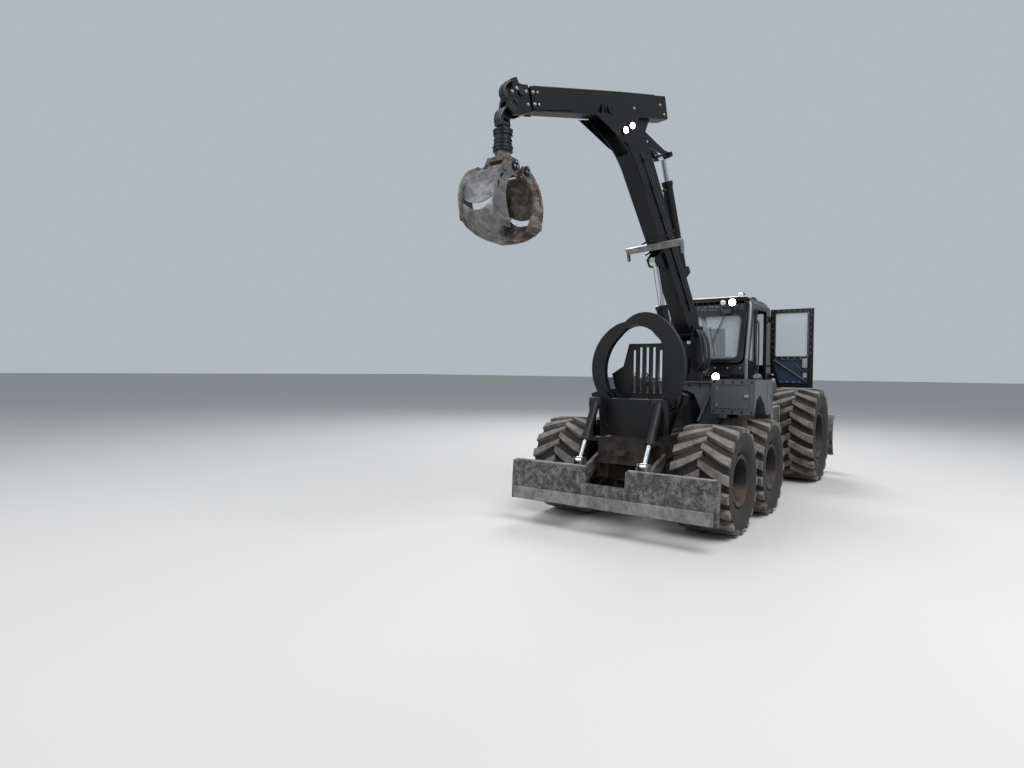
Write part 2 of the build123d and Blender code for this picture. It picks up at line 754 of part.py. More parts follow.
# Swing link, rotator and grapple: everything below the nose hangs upright
nose_at = CRANE_SIDE.to_local_coords(Vector(*point(OUTER, *NOSE)))
NOSE_R, NOSE_Z = nose_at.X, nose_at.Y
LINK_DROP = 190.0
ROTATOR_RADIUS = 105.0
ROTATOR_TOP = NOSE_Z - LINK_DROP - 60
ROTATOR_LOW = ROTATOR_TOP - 260
HUNG = Plane(origin=point(CRANE_SIDE, NOSE_R + HANG_OUT, 0), x_dir=OUT, z_dir=ACROSS)
with BuildPart() as swing_link:
    bar(point(HUNG, -HANG_OUT, NOSE_Z, -47), point(HUNG, -HANG_OUT, NOSE_Z, 47), 62)
    flat(
        HUNG,
        [
            (-HANG_OUT - 50, NOSE_Z - 10),
            (-HANG_OUT + 30, NOSE_Z + 50),
            (60, NOSE_Z - 50),
            (70, NOSE_Z - LINK_DROP + 62),
            (-70, NOSE_Z - LINK_DROP + 62),
        ],
        80,
    )
    for reach in (-58, 58):
        with BuildSketch(Plane(origin=point(HUNG, reach, 0), x_dir=ACROSS, z_dir=INWARD)) as cheek:
            with BuildLine():
                Polyline(
                    (-40, NOSE_Z - LINK_DROP + 80),
                    (40, NOSE_Z - LINK_DROP + 80),
                    (51, NOSE_Z - LINK_DROP + 10),
                    (-51, NOSE_Z - LINK_DROP + 10),
                    close=True,
                )
            make_face()
            with Locations((0, NOSE_Z - LINK_DROP)):
                Circle(52)
        extrude(cheek.sketch, amount=12, both=True)
save(swing_link, "swing_link")

with BuildPart() as rotator:
    for z, radius, height in (
        (ROTATOR_LOW, ROTATOR_RADIUS, ROTATOR_TOP - ROTATOR_LOW),
        (ROTATOR_LOW, ROTATOR_RADIUS + 15, 40),
        (ROTATOR_TOP - 70, ROTATOR_RADIUS + 12, 30),
    ):
        with BuildSketch(Plane.XY.offset(z)) as ring:
            with Locations(point(HUNG, 0, 0)[:2]):
                Circle(radius)
        extrude(ring.sketch, amount=height)
    bar(point(HUNG, -45.7, NOSE_Z - LINK_DROP), point(HUNG, 45.7, NOSE_Z - LINK_DROP), 50)
    flat(HUNG, [(-44, ROTATOR_TOP - 20), (44, ROTATOR_TOP - 20), (44, NOSE_Z - LINK_DROP), (-44, NOSE_Z - LINK_DROP)], 90)
save(rotator, "rotator")

# Grapple: turned a little from the crane's plane about the rotator
GRAPPLE_TURN = 18.0
GRIP_TURN = radians(SLEW_AT_REST - GRAPPLE_TURN)
GRIP = Plane(
    origin=point(HUNG, 0, 0),
    x_dir=(-cos(GRIP_TURN), sin(GRIP_TURN), 0),
    z_dir=(sin(GRIP_TURN), cos(GRIP_TURN), 0),
)
SHELL_PIVOT = (130.0, ROTATOR_LOW - 230.0)
GRAPPLE_LOW = 3500.0
SHELL_HALF = 250.0
SHELL_PIN = 42.0
with BuildPart() as grapple_crown:
    with BuildSketch(Plane.XY.offset(ROTATOR_LOW - 90)) as neck:
        with Locations(point(GRIP, 0, 0)[:2]):
            Circle(95)
    extrude(neck.sketch, amount=90 - SEAT_GAP)
    for hand in (-1, 1):
        flat(
            level_plane(GRIP, hand * 130),
            [
                (-110, ROTATOR_LOW - 85),
                (110, ROTATOR_LOW - 85),
                (190, SHELL_PIVOT[1] + 20),
                (170, SHELL_PIVOT[1] - 60),
                (-170, SHELL_PIVOT[1] - 60),
                (-190, SHELL_PIVOT[1] + 20),
            ],
            30,
        )
        for end in (-1, 1):
            bar(
                point(GRIP, end * SHELL_PIVOT[0], SHELL_PIVOT[1], hand * 110),
                point(GRIP, end * SHELL_PIVOT[0], SHELL_PIVOT[1], hand * 150),
                SHELL_PIN + PIN_GAP,
                Mode.SUBTRACT,
            )
    flat(
        GRIP,
        [(-120, ROTATOR_LOW - 85), (120, ROTATOR_LOW - 85), (110, ROTATOR_LOW - 130), (-110, ROTATOR_LOW - 130)],
        290,
    )
save(grapple_crown, "grapple_crown")


# Shells: two deep crescents each, a back plate set in between them and a lip that rounds to a tip
SHELL_PLATE = 30.0
for name, hand in (("grapple_shell_outer", 1), ("grapple_shell_inner", -1)):
    low, top = GRAPPLE_LOW, SHELL_PIVOT[1] + 60
    middle = (low + top) / 2
    back_plane = Plane(origin=point(GRIP, 0, 0), x_dir=GRIP.x_dir * hand, z_dir=GRIP.z_dir * hand)
    with BuildPart() as shell:
        for across in (-1, 1):
            with BuildSketch(level_plane(back_plane, across * (SHELL_HALF - SHELL_PLATE / 2))) as crescent:
                with BuildLine():
                    ThreePointArc((60, top - 20), (400, top - 150), (540, middle + 30))
                    ThreePointArc((540, middle + 30), (440, low + 190), (8, low))
                    ThreePointArc((8, low), (215, low + 225), (300, middle))
                    ThreePointArc((300, middle), (262, middle + 175), (60, SHELL_PIVOT[1] - 70))
                    Line((60, SHELL_PIVOT[1] - 70), (60, top - 20))
                make_face()
                for u, v, lean in ((392, top - 245, -50), (455, top - 350, -68)):
                    with Locations((u, v)):
                        SlotOverall(88, 42, rotation=lean, mode=Mode.SUBTRACT)
            extrude(crescent.sketch, amount=SHELL_PLATE / 2, both=True)
        with BuildSketch(back_plane) as back:
            with BuildLine():
                ThreePointArc((228, top - 82), (382, top - 190), (478, middle + 10))
                Line((478, middle + 10), (458, middle + 10))
                ThreePointArc((458, middle + 10), (366, top - 206), (220, top - 101))
                Line((220, top - 101), (228, top - 82))
            make_face()
        extrude(back.sketch, amount=SHELL_HALF - SHELL_PLATE / 2, both=True)
        with BuildSketch(back_plane) as lip:
            with BuildLine():
                ThreePointArc((492, low + 290), (375, low + 135), (8, low + 2))
                Line((8, low + 2), (8, low + 34))
                ThreePointArc((8, low + 34), (345, low + 155), (458, low + 300))
                Line((458, low + 300), (492, low + 290))
            make_face()
        extrude(lip.sketch, amount=SHELL_HALF - SHELL_PLATE / 2, both=True)
        bar(
            point(GRIP, hand * SHELL_PIVOT[0], SHELL_PIVOT[1], -SHELL_HALF + 20),
            point(GRIP, hand * SHELL_PIVOT[0], SHELL_PIVOT[1], SHELL_HALF - 20),
            SHELL_PIN,
        )
        with BuildSketch(Plane(origin=point(GRIP, 0, 0), x_dir=GRIP.z_dir, z_dir=GRIP.x_dir * -1)) as front:
            with BuildLine():
                Line((-SHELL_HALF, low + 330), (-SHELL_HALF, top + 20))
                Line((-SHELL_HALF, top + 20), (SHELL_HALF, top + 20))
                Line((SHELL_HALF, top + 20), (SHELL_HALF, low + 330))
                ThreePointArc((SHELL_HALF, low + 330), (SHELL_HALF * 0.80, low + 105), (0, low - 5))
                ThreePointArc((0, low - 5), (-SHELL_HALF * 0.80, low + 105), (-SHELL_HALF, low + 330))
            make_face()
        extrude(front.sketch, amount=700, both=True, mode=Mode.INTERSECT)
    save(shell, name)

# Log rest bar across the main boom, and the two lamps at its head
CROSSBAR_S = 1500.0
with BuildPart() as boom_crossbar:
    bar_low = -165 - 14
    flat(
        MAIN,
        [(CROSSBAR_S - 45, bar_low - 60), (CROSSBAR_S + 45, bar_low - 60), (CROSSBAR_S + 45, bar_low), (CROSSBAR_S - 45, bar_low)],
        1000,
    )
    for hand in (-1, 1):
        flat(
            Plane(origin=point(MAIN, 0, 0, hand * 490), x_dir=MAIN.x_dir, z_dir=MAIN.z_dir),
            [
                (CROSSBAR_S - 45, bar_low - 60),
                (CROSSBAR_S - 150, bar_low - 90),
                (CROSSBAR_S - 150, bar_low - 50),
                (CROSSBAR_S - 20, bar_low),
                (CROSSBAR_S + 45, bar_low),
            ],
            30,
        )
save(boom_crossbar, "boom_crossbar")

with BuildPart() as boom_lamps:
    for u in (-310, -490):
        rise = 25 * (u - 25 - OUTER_REAR) / (OUTER_FRONT - OUTER_REAR)
        under = OUTER_MID - OUTER_DEPTH / 2 + rise - SEAT_GAP
        bar(point(OUTER, u, under - 60), point(OUTER, u + 55, under - 125), 52)
        flat(OUTER, [(u - 25, under), (u + 45, under), (u + 30, under - 70), (u - 10, under - 70)], 60)
save(boom_lamps, "boom_lamps")

# Clam bunk: saddle and headboard on the frame, and two curved arms that close over a load
BUNK_X = BOGIE_X - 1000.0
BUNK_PIVOT = (500.0, 1650.0)
BUNK_ARM = 90.0
BUNK_STEP = 150.0
BUNK_PIN = 45.0
with BuildPart() as bunk_base:
    flat(
        Plane(origin=(BUNK_X + 150, 0, 0), x_dir=(0, 1, 0), z_dir=(1, 0, 0)),
        [
            (-300, FRAME_TOP + SEAT_GAP),
            (300, FRAME_TOP + SEAT_GAP),
            (420, 1450),
            (560, 1560),
            (600, 1700),
            (440, 1760),
            (330, 1640),
            (-330, 1640),
            (-440, 1760),
            (-600, 1700),
            (-560, 1560),
            (-420, 1450),
        ],
        480,
    )
    for x in (BUNK_X, BUNK_X + BUNK_STEP):
        block((x - BUNK_ARM / 2 - RUNNING_GAP, -700, 1500), (x + BUNK_ARM / 2 + RUNNING_GAP, -340, 1900), Mode.SUBTRACT)
        block((x - BUNK_ARM / 2 - RUNNING_GAP, 340, 1500), (x + BUNK_ARM / 2 + RUNNING_GAP, 700, 1900), Mode.SUBTRACT)
    flat(
        Plane(origin=(BUNK_X + 400, 0, 0), x_dir=(0, 1, 0), z_dir=(1, 0, 0)),
        [
            (-330, FRAME_TOP + SEAT_GAP),
            (330, FRAME_TOP + SEAT_GAP),
            (460, 1500),
            (460, 1760),
            (520, 1970),
            (344, 2080),
            (260, 2390),
            (-260, 2390),
            (-344, 2080),
            (-520, 1970),
            (-460, 1760),
            (-460, 1500),
        ],
        80,
    )
    for n in range(5):
        y = (n - 2) * 96
        block((BUNK_X + 300, y - 32, 1720), (BUNK_X + 500, y + 32, 2340 if abs(n - 2) < 2 else 2300), Mode.SUBTRACT)
    for hand in (-1, 1):
        bar(
            (BUNK_X - 80, hand * BUNK_PIVOT[0], BUNK_PIVOT[1]),
            (BUNK_X + BUNK_STEP + 100, hand * BUNK_PIVOT[0], BUNK_PIVOT[1]),
            BUNK_PIN,
        )
save(bunk_base, "bunk_base")
for name, hand, x, crown in (
    ("bunk_arm_right", -1, BUNK_X, 2730),
    ("bunk_arm_left", 1, BUNK_X + BUNK_STEP, 2645),
):
    with BuildPart() as arm:
        with BuildSketch(Plane(origin=(x, 0, 0), x_dir=(0, hand, 0), z_dir=(hand, 0, 0))) as claw:
            with BuildLine():
                ThreePointArc((590, 1690), (640, 2330), (320, crown))
                ThreePointArc((320, crown), (20, crown + 30), (-180, 2600))
                Line((-180, 2600), (-150, 2560))
                ThreePointArc((-150, 2560), (120, 2600), (290, 2480))
                ThreePointArc((290, 2480), (480, 2180), (410, 1690))
                Line((410, 1690), (590, 1690))
            make_face()
            with Locations(BUNK_PIVOT):
                Circle(105)
        extrude(claw.sketch, amount=BUNK_ARM / 2, both=True)
        bar(
            (x - 60, hand * BUNK_PIVOT[0], BUNK_PIVOT[1]),
            (x + 60, hand * BUNK_PIVOT[0], BUNK_PIVOT[1]),
            BUNK_PIN + PIN_GAP,
            Mode.SUBTRACT,
        )
    save(arm, name)

# Fenders and tool boxes over the middle wheels
with BuildPart() as rear_fenders:
    for hand in (-1, 1):
        flat(
            side(hand * 900),
            [
                (BOGIE_X + 250, 1420),
                (BOGIE_X + 330, 1620),
                (BOGIE_X + 520, 1700),
                (BOGIE_X + 760, 1560),
                (BOGIE_X + 860, 1400),
                (BOGIE_X + 1240, 1400),
                (BOGIE_X + 1240, 1900),
                (BOGIE_X + 250, 1900),
            ],
            600,
        )
        block(
            (BOGIE_X + 760, min(hand * 320, hand * 610), 1420),
            (BOGIE_X + 1100, max(hand * 320, hand * 610), 1520),
        )
        block(
            (BOGIE_X + 760, min(hand * (FRAME_HALF + SEAT_GAP), hand * 400), 900),
            (BOGIE_X + 1100, max(hand * (FRAME_HALF + SEAT_GAP), hand * 400), 1521),
        )
        bar((BOGIE_X + 1180, hand * 1000, 1890), (BOGIE_X + 1130, hand * 1000, 1960), 60)
save(rear_fenders, "rear_fenders")

# Front frame: box frame, tongue and pin at the centre pivot, blade lugs and steering lugs
FRONT_HALF = 280.0
NECK_HALF = 225.0
NOSE_X = BOGIE_X + 5150.0
PUSH_PIVOT = (BOGIE_X + 4650.0, 640.0)
PUSH_ARM_Y = 440.0
PUSH_BASE = (BOGIE_X + 5190.0, 1290.0)
PUSH_EYE = (BOGIE_X + 5480.0, 560.0)
PUSH_CYLINDER_Y = 200.0
with BuildPart() as front_frame:
    block((PIVOT_X + 520, -FRONT_HALF, FRAME_LOW), (NOSE_X, FRONT_HALF, FRAME_TOP))
    block((PIVOT_X + 560, -FRONT_HALF + 40, FRAME_LOW - 1), (NOSE_X - 160, FRONT_HALF - 40, FRAME_TOP - 60), Mode.SUBTRACT)
    block((PIVOT_X + 290, -NECK_HALF, FRAME_LOW), (PIVOT_X + 560, NECK_HALF, FRAME_TOP))
    for y_low in (-FRONT_HALF, FRONT_HALF - 40):
        block(
            (FRONT_AXLE_X - 230, y_low, FRONT_WHEEL["diameter"] / 2 - 190),
            (FRONT_AXLE_X + 230, y_low + 40, FRAME_LOW + 60),
        )
    with BuildSketch(Plane.XY.offset(FRAME_LOW + 90)) as tongue:
        with Locations((PIVOT_X, 0)):
            Circle(EAR_HALF - 15)
        with Locations((PIVOT_X + 160, 0)):
            Rectangle(320, 2 * (EAR_HALF - 15))
    extrude(tongue.sketch, amount=FRAME_TOP - FRAME_LOW - 180)
    bar((PIVOT_X, 0, FRAME_LOW - 10), (PIVOT_X, 0, FRAME_TOP + 10), PIVOT_PIN)
    bar((FRONT_AXLE_X, -400, FRONT_WHEEL["diameter"] / 2), (FRONT_AXLE_X, 400, FRONT_WHEEL["diameter"] / 2), 150 + SEAT_GAP, Mode.SUBTRACT)
    for hand in (-1, 1):
        for z in (STEER_Z - STEER_SIZE[5] - RUNNING_GAP - LUG, STEER_Z + STEER_SIZE[5] + RUNNING_GAP):
            block(
                (STEER_EYE[0] - 50, min(hand * (NECK_HALF - 5), hand * (STEER_EYE[1] + 45)), z),
                (STEER_EYE[0] + 50, max(hand * (NECK_HALF - 5), hand * (STEER_EYE[1] + 45)), z + LUG),
            )
        flat(
            side(hand * (FRONT_HALF + 60)),
            [
                (PUSH_PIVOT[0] - 90, FRAME_LOW + 160),
                (PUSH_PIVOT[0] - 70, PUSH_PIVOT[1] - 60),
                (PUSH_PIVOT[0] + 70, PUSH_PIVOT[1] - 60),
                (PUSH_PIVOT[0] + 110, FRAME_LOW + 160),
            ],
            122,
        )
        bar(
            (PUSH_PIVOT[0], hand * (FRONT_HALF + 60), PUSH_PIVOT[1]),
            (PUSH_PIVOT[0], hand * (PUSH_ARM_Y + 30), PUSH_PIVOT[1]),
            BLADE_PIN,
        )
        for reach in (-1, 1):
            flat(
                side(hand * PUSH_CYLINDER_Y + reach * (TWIN_HALF + SEAT_GAP + LUG / 2)),
                [
                    (NOSE_X - 40, FRAME_TOP - 100),
                    (NOSE_X + 20, FRAME_TOP - 60),
                    (PUSH_BASE[0] + 50, PUSH_BASE[1] - 30),
                    (PUSH_BASE[0] + 40, PUSH_BASE[1] + 50),
                    (PUSH_BASE[0] - 40, PUSH_BASE[1] + 50),
                    (NOSE_X - 40, FRAME_TOP + 100),
                ],
                LUG,
            )
save(front_frame, "front_frame")

with BuildPart() as front_axle:
    axle_z = FRONT_WHEEL["diameter"] / 2
    reach = TRACK / 2 + disc_face(FRONT_WHEEL) - SEAT_GAP
    bar((FRONT_AXLE_X, -reach, axle_z), (FRONT_AXLE_X, reach, axle_z), 135)
    bar((FRONT_AXLE_X, -FRONT_HALF - 220, axle_z), (FRONT_AXLE_X, FRONT_HALF + 220, axle_z), 150)
    with Locations((FRONT_AXLE_X, 0, axle_z)):
        Sphere(215)
    for hand in (-1, 1):
        bar((FRONT_AXLE_X, hand * 560, axle_z), (FRONT_AXLE_X, hand * (reach - 60), axle_z), 210)
save(front_axle, "front_axle")

with BuildPart() as engine:
    block((BOGIE_X + 3500, -300, FRAME_TOP + SEAT_GAP), (BOGIE_X + 4750, 300, 1820))
save(engine, "engine")

# Steering cylinders, one each side of the centre pivot
for name, hand in (("steer_right", -1), ("steer_left", 1)):
    level = Plane(origin=(0, 0, STEER_Z), x_dir=(1, 0, 0), z_dir=(0, 0, 1))
    cylinder(
        level,
        (STEER_BASE[0], hand * STEER_BASE[1]),
        (STEER_EYE[0], hand * STEER_EYE[1]),
        STEER_SIZE,
        name,
    )

# Hood: open below and towards the cab, with a slatted front
HOOD_REAR = BOGIE_X + 3290.0
HOOD_FRONT = BOGIE_X + 5090.0
HOOD_HALF = 470.0
HOOD_HINGE = (BOGIE_X + 3300.0, 2025.0)
HOOD_EAR_Y = 260.0
HOOD_PIN = 12.0
HOOD_LOW = FRAME_TOP + 20.0
with BuildPart() as hood:
    hood_side = [
        (HOOD_REAR, HOOD_LOW),
        (HOOD_FRONT, HOOD_LOW),
        (HOOD_FRONT - 40, 1750),
        (HOOD_FRONT - 160, 1840),
        (HOOD_REAR, 1985),
    ]
    flat(side(0), hood_side, 2 * HOOD_HALF)
    chamfer(hood.edges().filter_by(Axis.X, tolerance=12).group_by(Axis.Z)[-1], 60)
    flat(
        side(0),
        [
            (HOOD_REAR - 10, HOOD_LOW - 10),
            (HOOD_FRONT - 30, HOOD_LOW - 10),
            (HOOD_FRONT - 70, 1730),
            (HOOD_FRONT - 175, 1810),
            (HOOD_REAR - 10, 1956),
        ],
        2 * (HOOD_HALF - 70),
        Mode.SUBTRACT,
    )
    for n in range(9):
        z = 1240 + n * 55
        block((HOOD_FRONT - 90, -330, z), (HOOD_FRONT + 20, 330, z + 32), Mode.SUBTRACT)
    for hand in (-1, 1):
        for n in range(7):
            x = HOOD_FRONT - 760 + n * 78
            block((x, min(hand * 380, hand * 500), 1330), (x + 44, max(hand * 380, hand * 500), 1640), Mode.SUBTRACT)
    for hand in (-1, 1):
        block((HOOD_REAR, hand * HOOD_EAR_Y - 15, 1965), (HOOD_REAR + 40, hand * HOOD_EAR_Y + 15, 2042))
        bar(
            (HOOD_HINGE[0], hand * HOOD_EAR_Y, HOOD_HINGE[1]),
            (HOOD_HINGE[0], hand * (HOOD_EAR_Y + 45), HOOD_HINGE[1]),
            HOOD_PIN,
        )
save(hood, "hood")

# Cab: one hollow shell with its windows and doorway cut
REAR_PANE = (2200.0, 2960.0)
GUARD_PANE = (3000.0, 3150.0)
FRONT_PANE = (2150.0, 3060.0)
SIDE_PANE = (2200.0, 3060.0)


def cab_side(inset=0.0):
    """The cab's side view, moved in by a wall."""
    return [
        (CAB_REAR + inset, CAB_FLOOR + inset),
        (CAB_FRONT - inset, CAB_FLOOR + inset),
        (CAB_FRONT - inset, 2120),
        (CAB_FRONT_TOP - inset, CAB_TOP - 130),
        (CAB_FRONT_TOP - 90 - inset / 2, CAB_TOP - inset),
        (CAB_REAR_TOP + 60 + inset / 2, CAB_TOP - inset),
        (CAB_REAR_TOP - 10 + inset, CAB_TOP - 110),
        (CAB_REAR + 50 + inset, CAB_SILL),
        (CAB_REAR + inset, CAB_SILL - 200),
    ]


def window_cuts(mode):
    """The openings of the cab's walls, cut straight through."""
    for low, high in (REAR_PANE, GUARD_PANE):
        block((CAB_REAR - 200, -CAB_HALF + 120, low), (CAB_REAR + 560, CAB_HALF - 120, high), mode)
    block((CAB_FRONT_TOP - 200, -CAB_HALF + 90, FRONT_PANE[0]), (CAB_FRONT + 100, CAB_HALF - 90, FRONT_PANE[1]), mode)
    for hand in (-1, 1):
        flat(
            side(hand * CAB_HALF),
            [
                (CAB_REAR + 170, SIDE_PANE[0]),
                (BOGIE_X + 2130, SIDE_PANE[0]),
                (BOGIE_X + 2130, SIDE_PANE[1]),
                (CAB_REAR_TOP + 90, SIDE_PANE[1]),
            ],
            200,
            mode,
        )


DOORWAY = (DOOR_X - DOOR_WIDTH + 30, DOOR_X - 30, DOOR_LOW + 40, DOOR_TOP - 30)
with BuildPart() as cab_shell:
    flat(side(0), cab_side(), 2 * CAB_HALF)
    chamfer(cab_shell.edges().filter_by(Axis.X).group_by(Axis.Z)[-1], 90)
    flat(side(0), cab_side(CAB_WALL), 2 * (CAB_HALF - CAB_WALL), Mode.SUBTRACT)
    window_cuts(Mode.SUBTRACT)
    block((DOORWAY[0], -CAB_HALF - 50, DOORWAY[2]), (DOORWAY[1], -CAB_HALF + 100, DOORWAY[3]), Mode.SUBTRACT)
    block((DOORWAY[0], CAB_HALF - 100, SIDE_PANE[0]), (DOORWAY[1], CAB_HALF + 50, SIDE_PANE[1]), Mode.SUBTRACT)
    for z in (1900, 2900):
        for dz in (-20 - SEAT_GAP, 80 + SEAT_GAP):
            block((DOOR_X - 5, -CAB_HALF - 50, z + dz), (DOOR_X + 45, -CAB_HALF + 5, z + dz + 20))
    for hand in (-1, 1):
        block(
            (CAB_FRONT - 5, hand * (HOOD_EAR_Y + 30.3) - 15, 2002),
            (HOOD_HINGE[0] + 22, hand * (HOOD_EAR_Y + 30.3) + 15, 2048),
        )
        bar(
            (HOOD_HINGE[0], hand * (HOOD_EAR_Y + 10), HOOD_HINGE[1]),
            (HOOD_HINGE[0], hand * (HOOD_EAR_Y + 50), HOOD_HINGE[1]),
            HOOD_PIN + PIN_GAP,
            Mode.SUBTRACT,
        )
save(cab_shell, "cab_shell")

with BuildPart() as cab_glass:
    window_cuts(Mode.ADD)
    block((DOORWAY[0], CAB_HALF - 100, SIDE_PANE[0]), (DOORWAY[1], CAB_HALF + 50, SIDE_PANE[1]))
    with BuildSketch(side(0)) as pane_out:
        with BuildLine():
            Polyline(*cab_side(20), close=True)
        make_face()
    extrude(pane_out.sketch, amount=CAB_HALF - 20, both=True, mode=Mode.INTERSECT)
    with BuildSketch(side(0)) as pane_in:
        with BuildLine():
            Polyline(*cab_side(28), close=True)
        make_face()
    extrude(pane_in.sketch, amount=CAB_HALF - 28, both=True, mode=Mode.SUBTRACT)
save(cab_glass, "cab_glass")

# Guard rail over the rear window, grab rail beside the doorway
with BuildPart() as cab_guards:
    rail_x = CAB_REAR_TOP - 75
    for z in (2975, 3200):
        block((rail_x - 15, -CAB_HALF + 90, z - 12), (rail_x + 15, CAB_HALF - 90, z + 12))
    for n in range(13):
        y = -CAB_HALF + 96 + n * (2 * CAB_HALF - 192) / 12
        block((rail_x - 10, y - 6, 2975), (rail_x + 10, y + 6, 3200))
    for y in (-CAB_HALF + 110, CAB_HALF - 110):
        block((rail_x - 5, y - 15, 3160), (CAB_REAR_TOP + 8.6, y + 15, 3190))
        block((rail_x - 5, y - 15, 2965), (CAB_REAR + 256.2, y + 15, 2985))
save(cab_guards, "cab_guards")

with BuildPart() as cab_interior:
    seat_x = BOGIE_X + 2250
    block((seat_x - 180, -200, CAB_FLOOR + CAB_WALL), (seat_x + 180, 200, 1800))
    flat(side(0), [(seat_x - 260, 1795), (seat_x + 300, 1795), (seat_x + 300, 1930), (seat_x - 200, 1910)], 500)
    flat(side(0), [(seat_x - 300, 1860), (seat_x - 200, 1860), (seat_x - 250, 2750), (seat_x - 350, 2740)], 480)
    block((BOGIE_X + 2880, -250, CAB_FLOOR + CAB_WALL), (BOGIE_X + 3170, 250, 2050))
save(cab_interior, "cab_interior")

with BuildPart() as side_boxes:
    for hand in (-1, 1):
        block(
            (BOGIE_X + 2600, min(hand * (FRONT_HALF + SEAT_GAP), hand * 860), 780),
            (BOGIE_X + 3230, max(hand * (FRONT_HALF + SEAT_GAP), hand * 860), CAB_FLOOR - SEAT_GAP),
        )
        for z in (820, 1080, 1340):
            block(
                (BOGIE_X + 2380, min(hand * 600, hand * 870), z),
                (BOGIE_X + 2601, max(hand * 600, hand * 870), z + 40),
            )
save(side_boxes, "side_boxes")

with BuildPart() as cab_mounts:
    for hand in (-1, 1):
        for x in (BOGIE_X + 2360, BOGIE_X + 3120):
            block((x, hand * 150 - 50, FRAME_TOP + SEAT_GAP), (x + 100, hand * 150 + 50, CAB_FLOOR - SEAT_GAP))
save(cab_mounts, "cab_mounts")

EXHAUST_X = CAB_FRONT + 100.0
with BuildPart() as exhaust_stack:
    bar((EXHAUST_X, 560, 1990), (EXHAUST_X, 560, 2950), 55)
    bar((EXHAUST_X, 560, 2945), (EXHAUST_X - 60, 560, 3080), 45)
    block((CAB_FRONT + SEAT_GAP, 520, 2020), (EXHAUST_X, 600, 2060))
    block((CAB_FRONT + SEAT_GAP, 520, 2080), (EXHAUST_X, 600, 2100))
save(exhaust_stack, "exhaust_stack")

LAMP_RISE = 66.0
with BuildPart() as cab_lamps:
    for x, y, z, ahead in (
        (CAB_REAR_TOP + 180, -470, CAB_TOP + LAMP_RISE, -1),
        (CAB_REAR_TOP + 180, 470, CAB_TOP + LAMP_RISE, -1),
        (CAB_FRONT_TOP - 130, -430, CAB_TOP + LAMP_RISE, 1),
        (CAB_FRONT_TOP - 130, 430, CAB_TOP + LAMP_RISE, 1),
    ):
        bar((x, y, z), (x + ahead * 80, y, z), 55)
        bar((x + ahead * 30, y, CAB_TOP + SEAT_GAP), (x + ahead * 30, y, z), 14)
save(cab_lamps, "cab_lamps")

# Door: shown open, square to the cab, glass above and a strutted panel below
HINGE = (DOOR_X + 15.0, -CAB_HALF - 28.0)
DOOR_INNER = HINGE[1] - 30
DOOR_OUTER = DOOR_INNER - DOOR_WIDTH
DOOR_PLANE = Plane(origin=(HINGE[0], 0, 0), x_dir=(0, 1, 0), z_dir=(1, 0, 0))
PANE = (DOOR_OUTER + 75, DOOR_INNER - 85, 2290.0, DOOR_TOP - 60)
with BuildPart() as door_frame:
    flat(
        DOOR_PLANE,
        [
            (DOOR_OUTER, DOOR_TOP),
            (DOOR_INNER, DOOR_TOP),
            (DOOR_INNER, DOOR_LOW + 440),
            (DOOR_INNER - 130, DOOR_LOW),
            (DOOR_OUTER, DOOR_LOW),
        ],
        DOOR_THICK,
    )
    block((HINGE[0] - 50, PANE[0], PANE[2]), (HINGE[0] + 50, PANE[1], PANE[3]), Mode.SUBTRACT)
    flat(
        Plane(origin=(HINGE[0] - DOOR_THICK / 2, 0, 0), x_dir=(0, 1, 0), z_dir=(1, 0, 0)),
        [
            (DOOR_OUTER + 60, 2220),
            (DOOR_INNER - 70, 2220),
            (DOOR_INNER - 170, DOOR_LOW + 60),
            (DOOR_OUTER + 60, DOOR_LOW + 60),
        ],
        40,
        Mode.SUBTRACT,
    )
    for z, reach in ((1900, 150), (2900, 60)):
        bar((HINGE[0], HINGE[1], z), (HINGE[0], HINGE[1], z + 80), 22)
        block((HINGE[0] - 15, DOOR_INNER - reach, z + 10), (HINGE[0] + 15, HINGE[1], z + 70))
save(door_frame, "door_frame")
with BuildPart() as door_glass:
    block((HINGE[0] - 4, PANE[0], PANE[2]), (HINGE[0] + 4, PANE[1], PANE[3]))
save(door_glass, "door_glass")

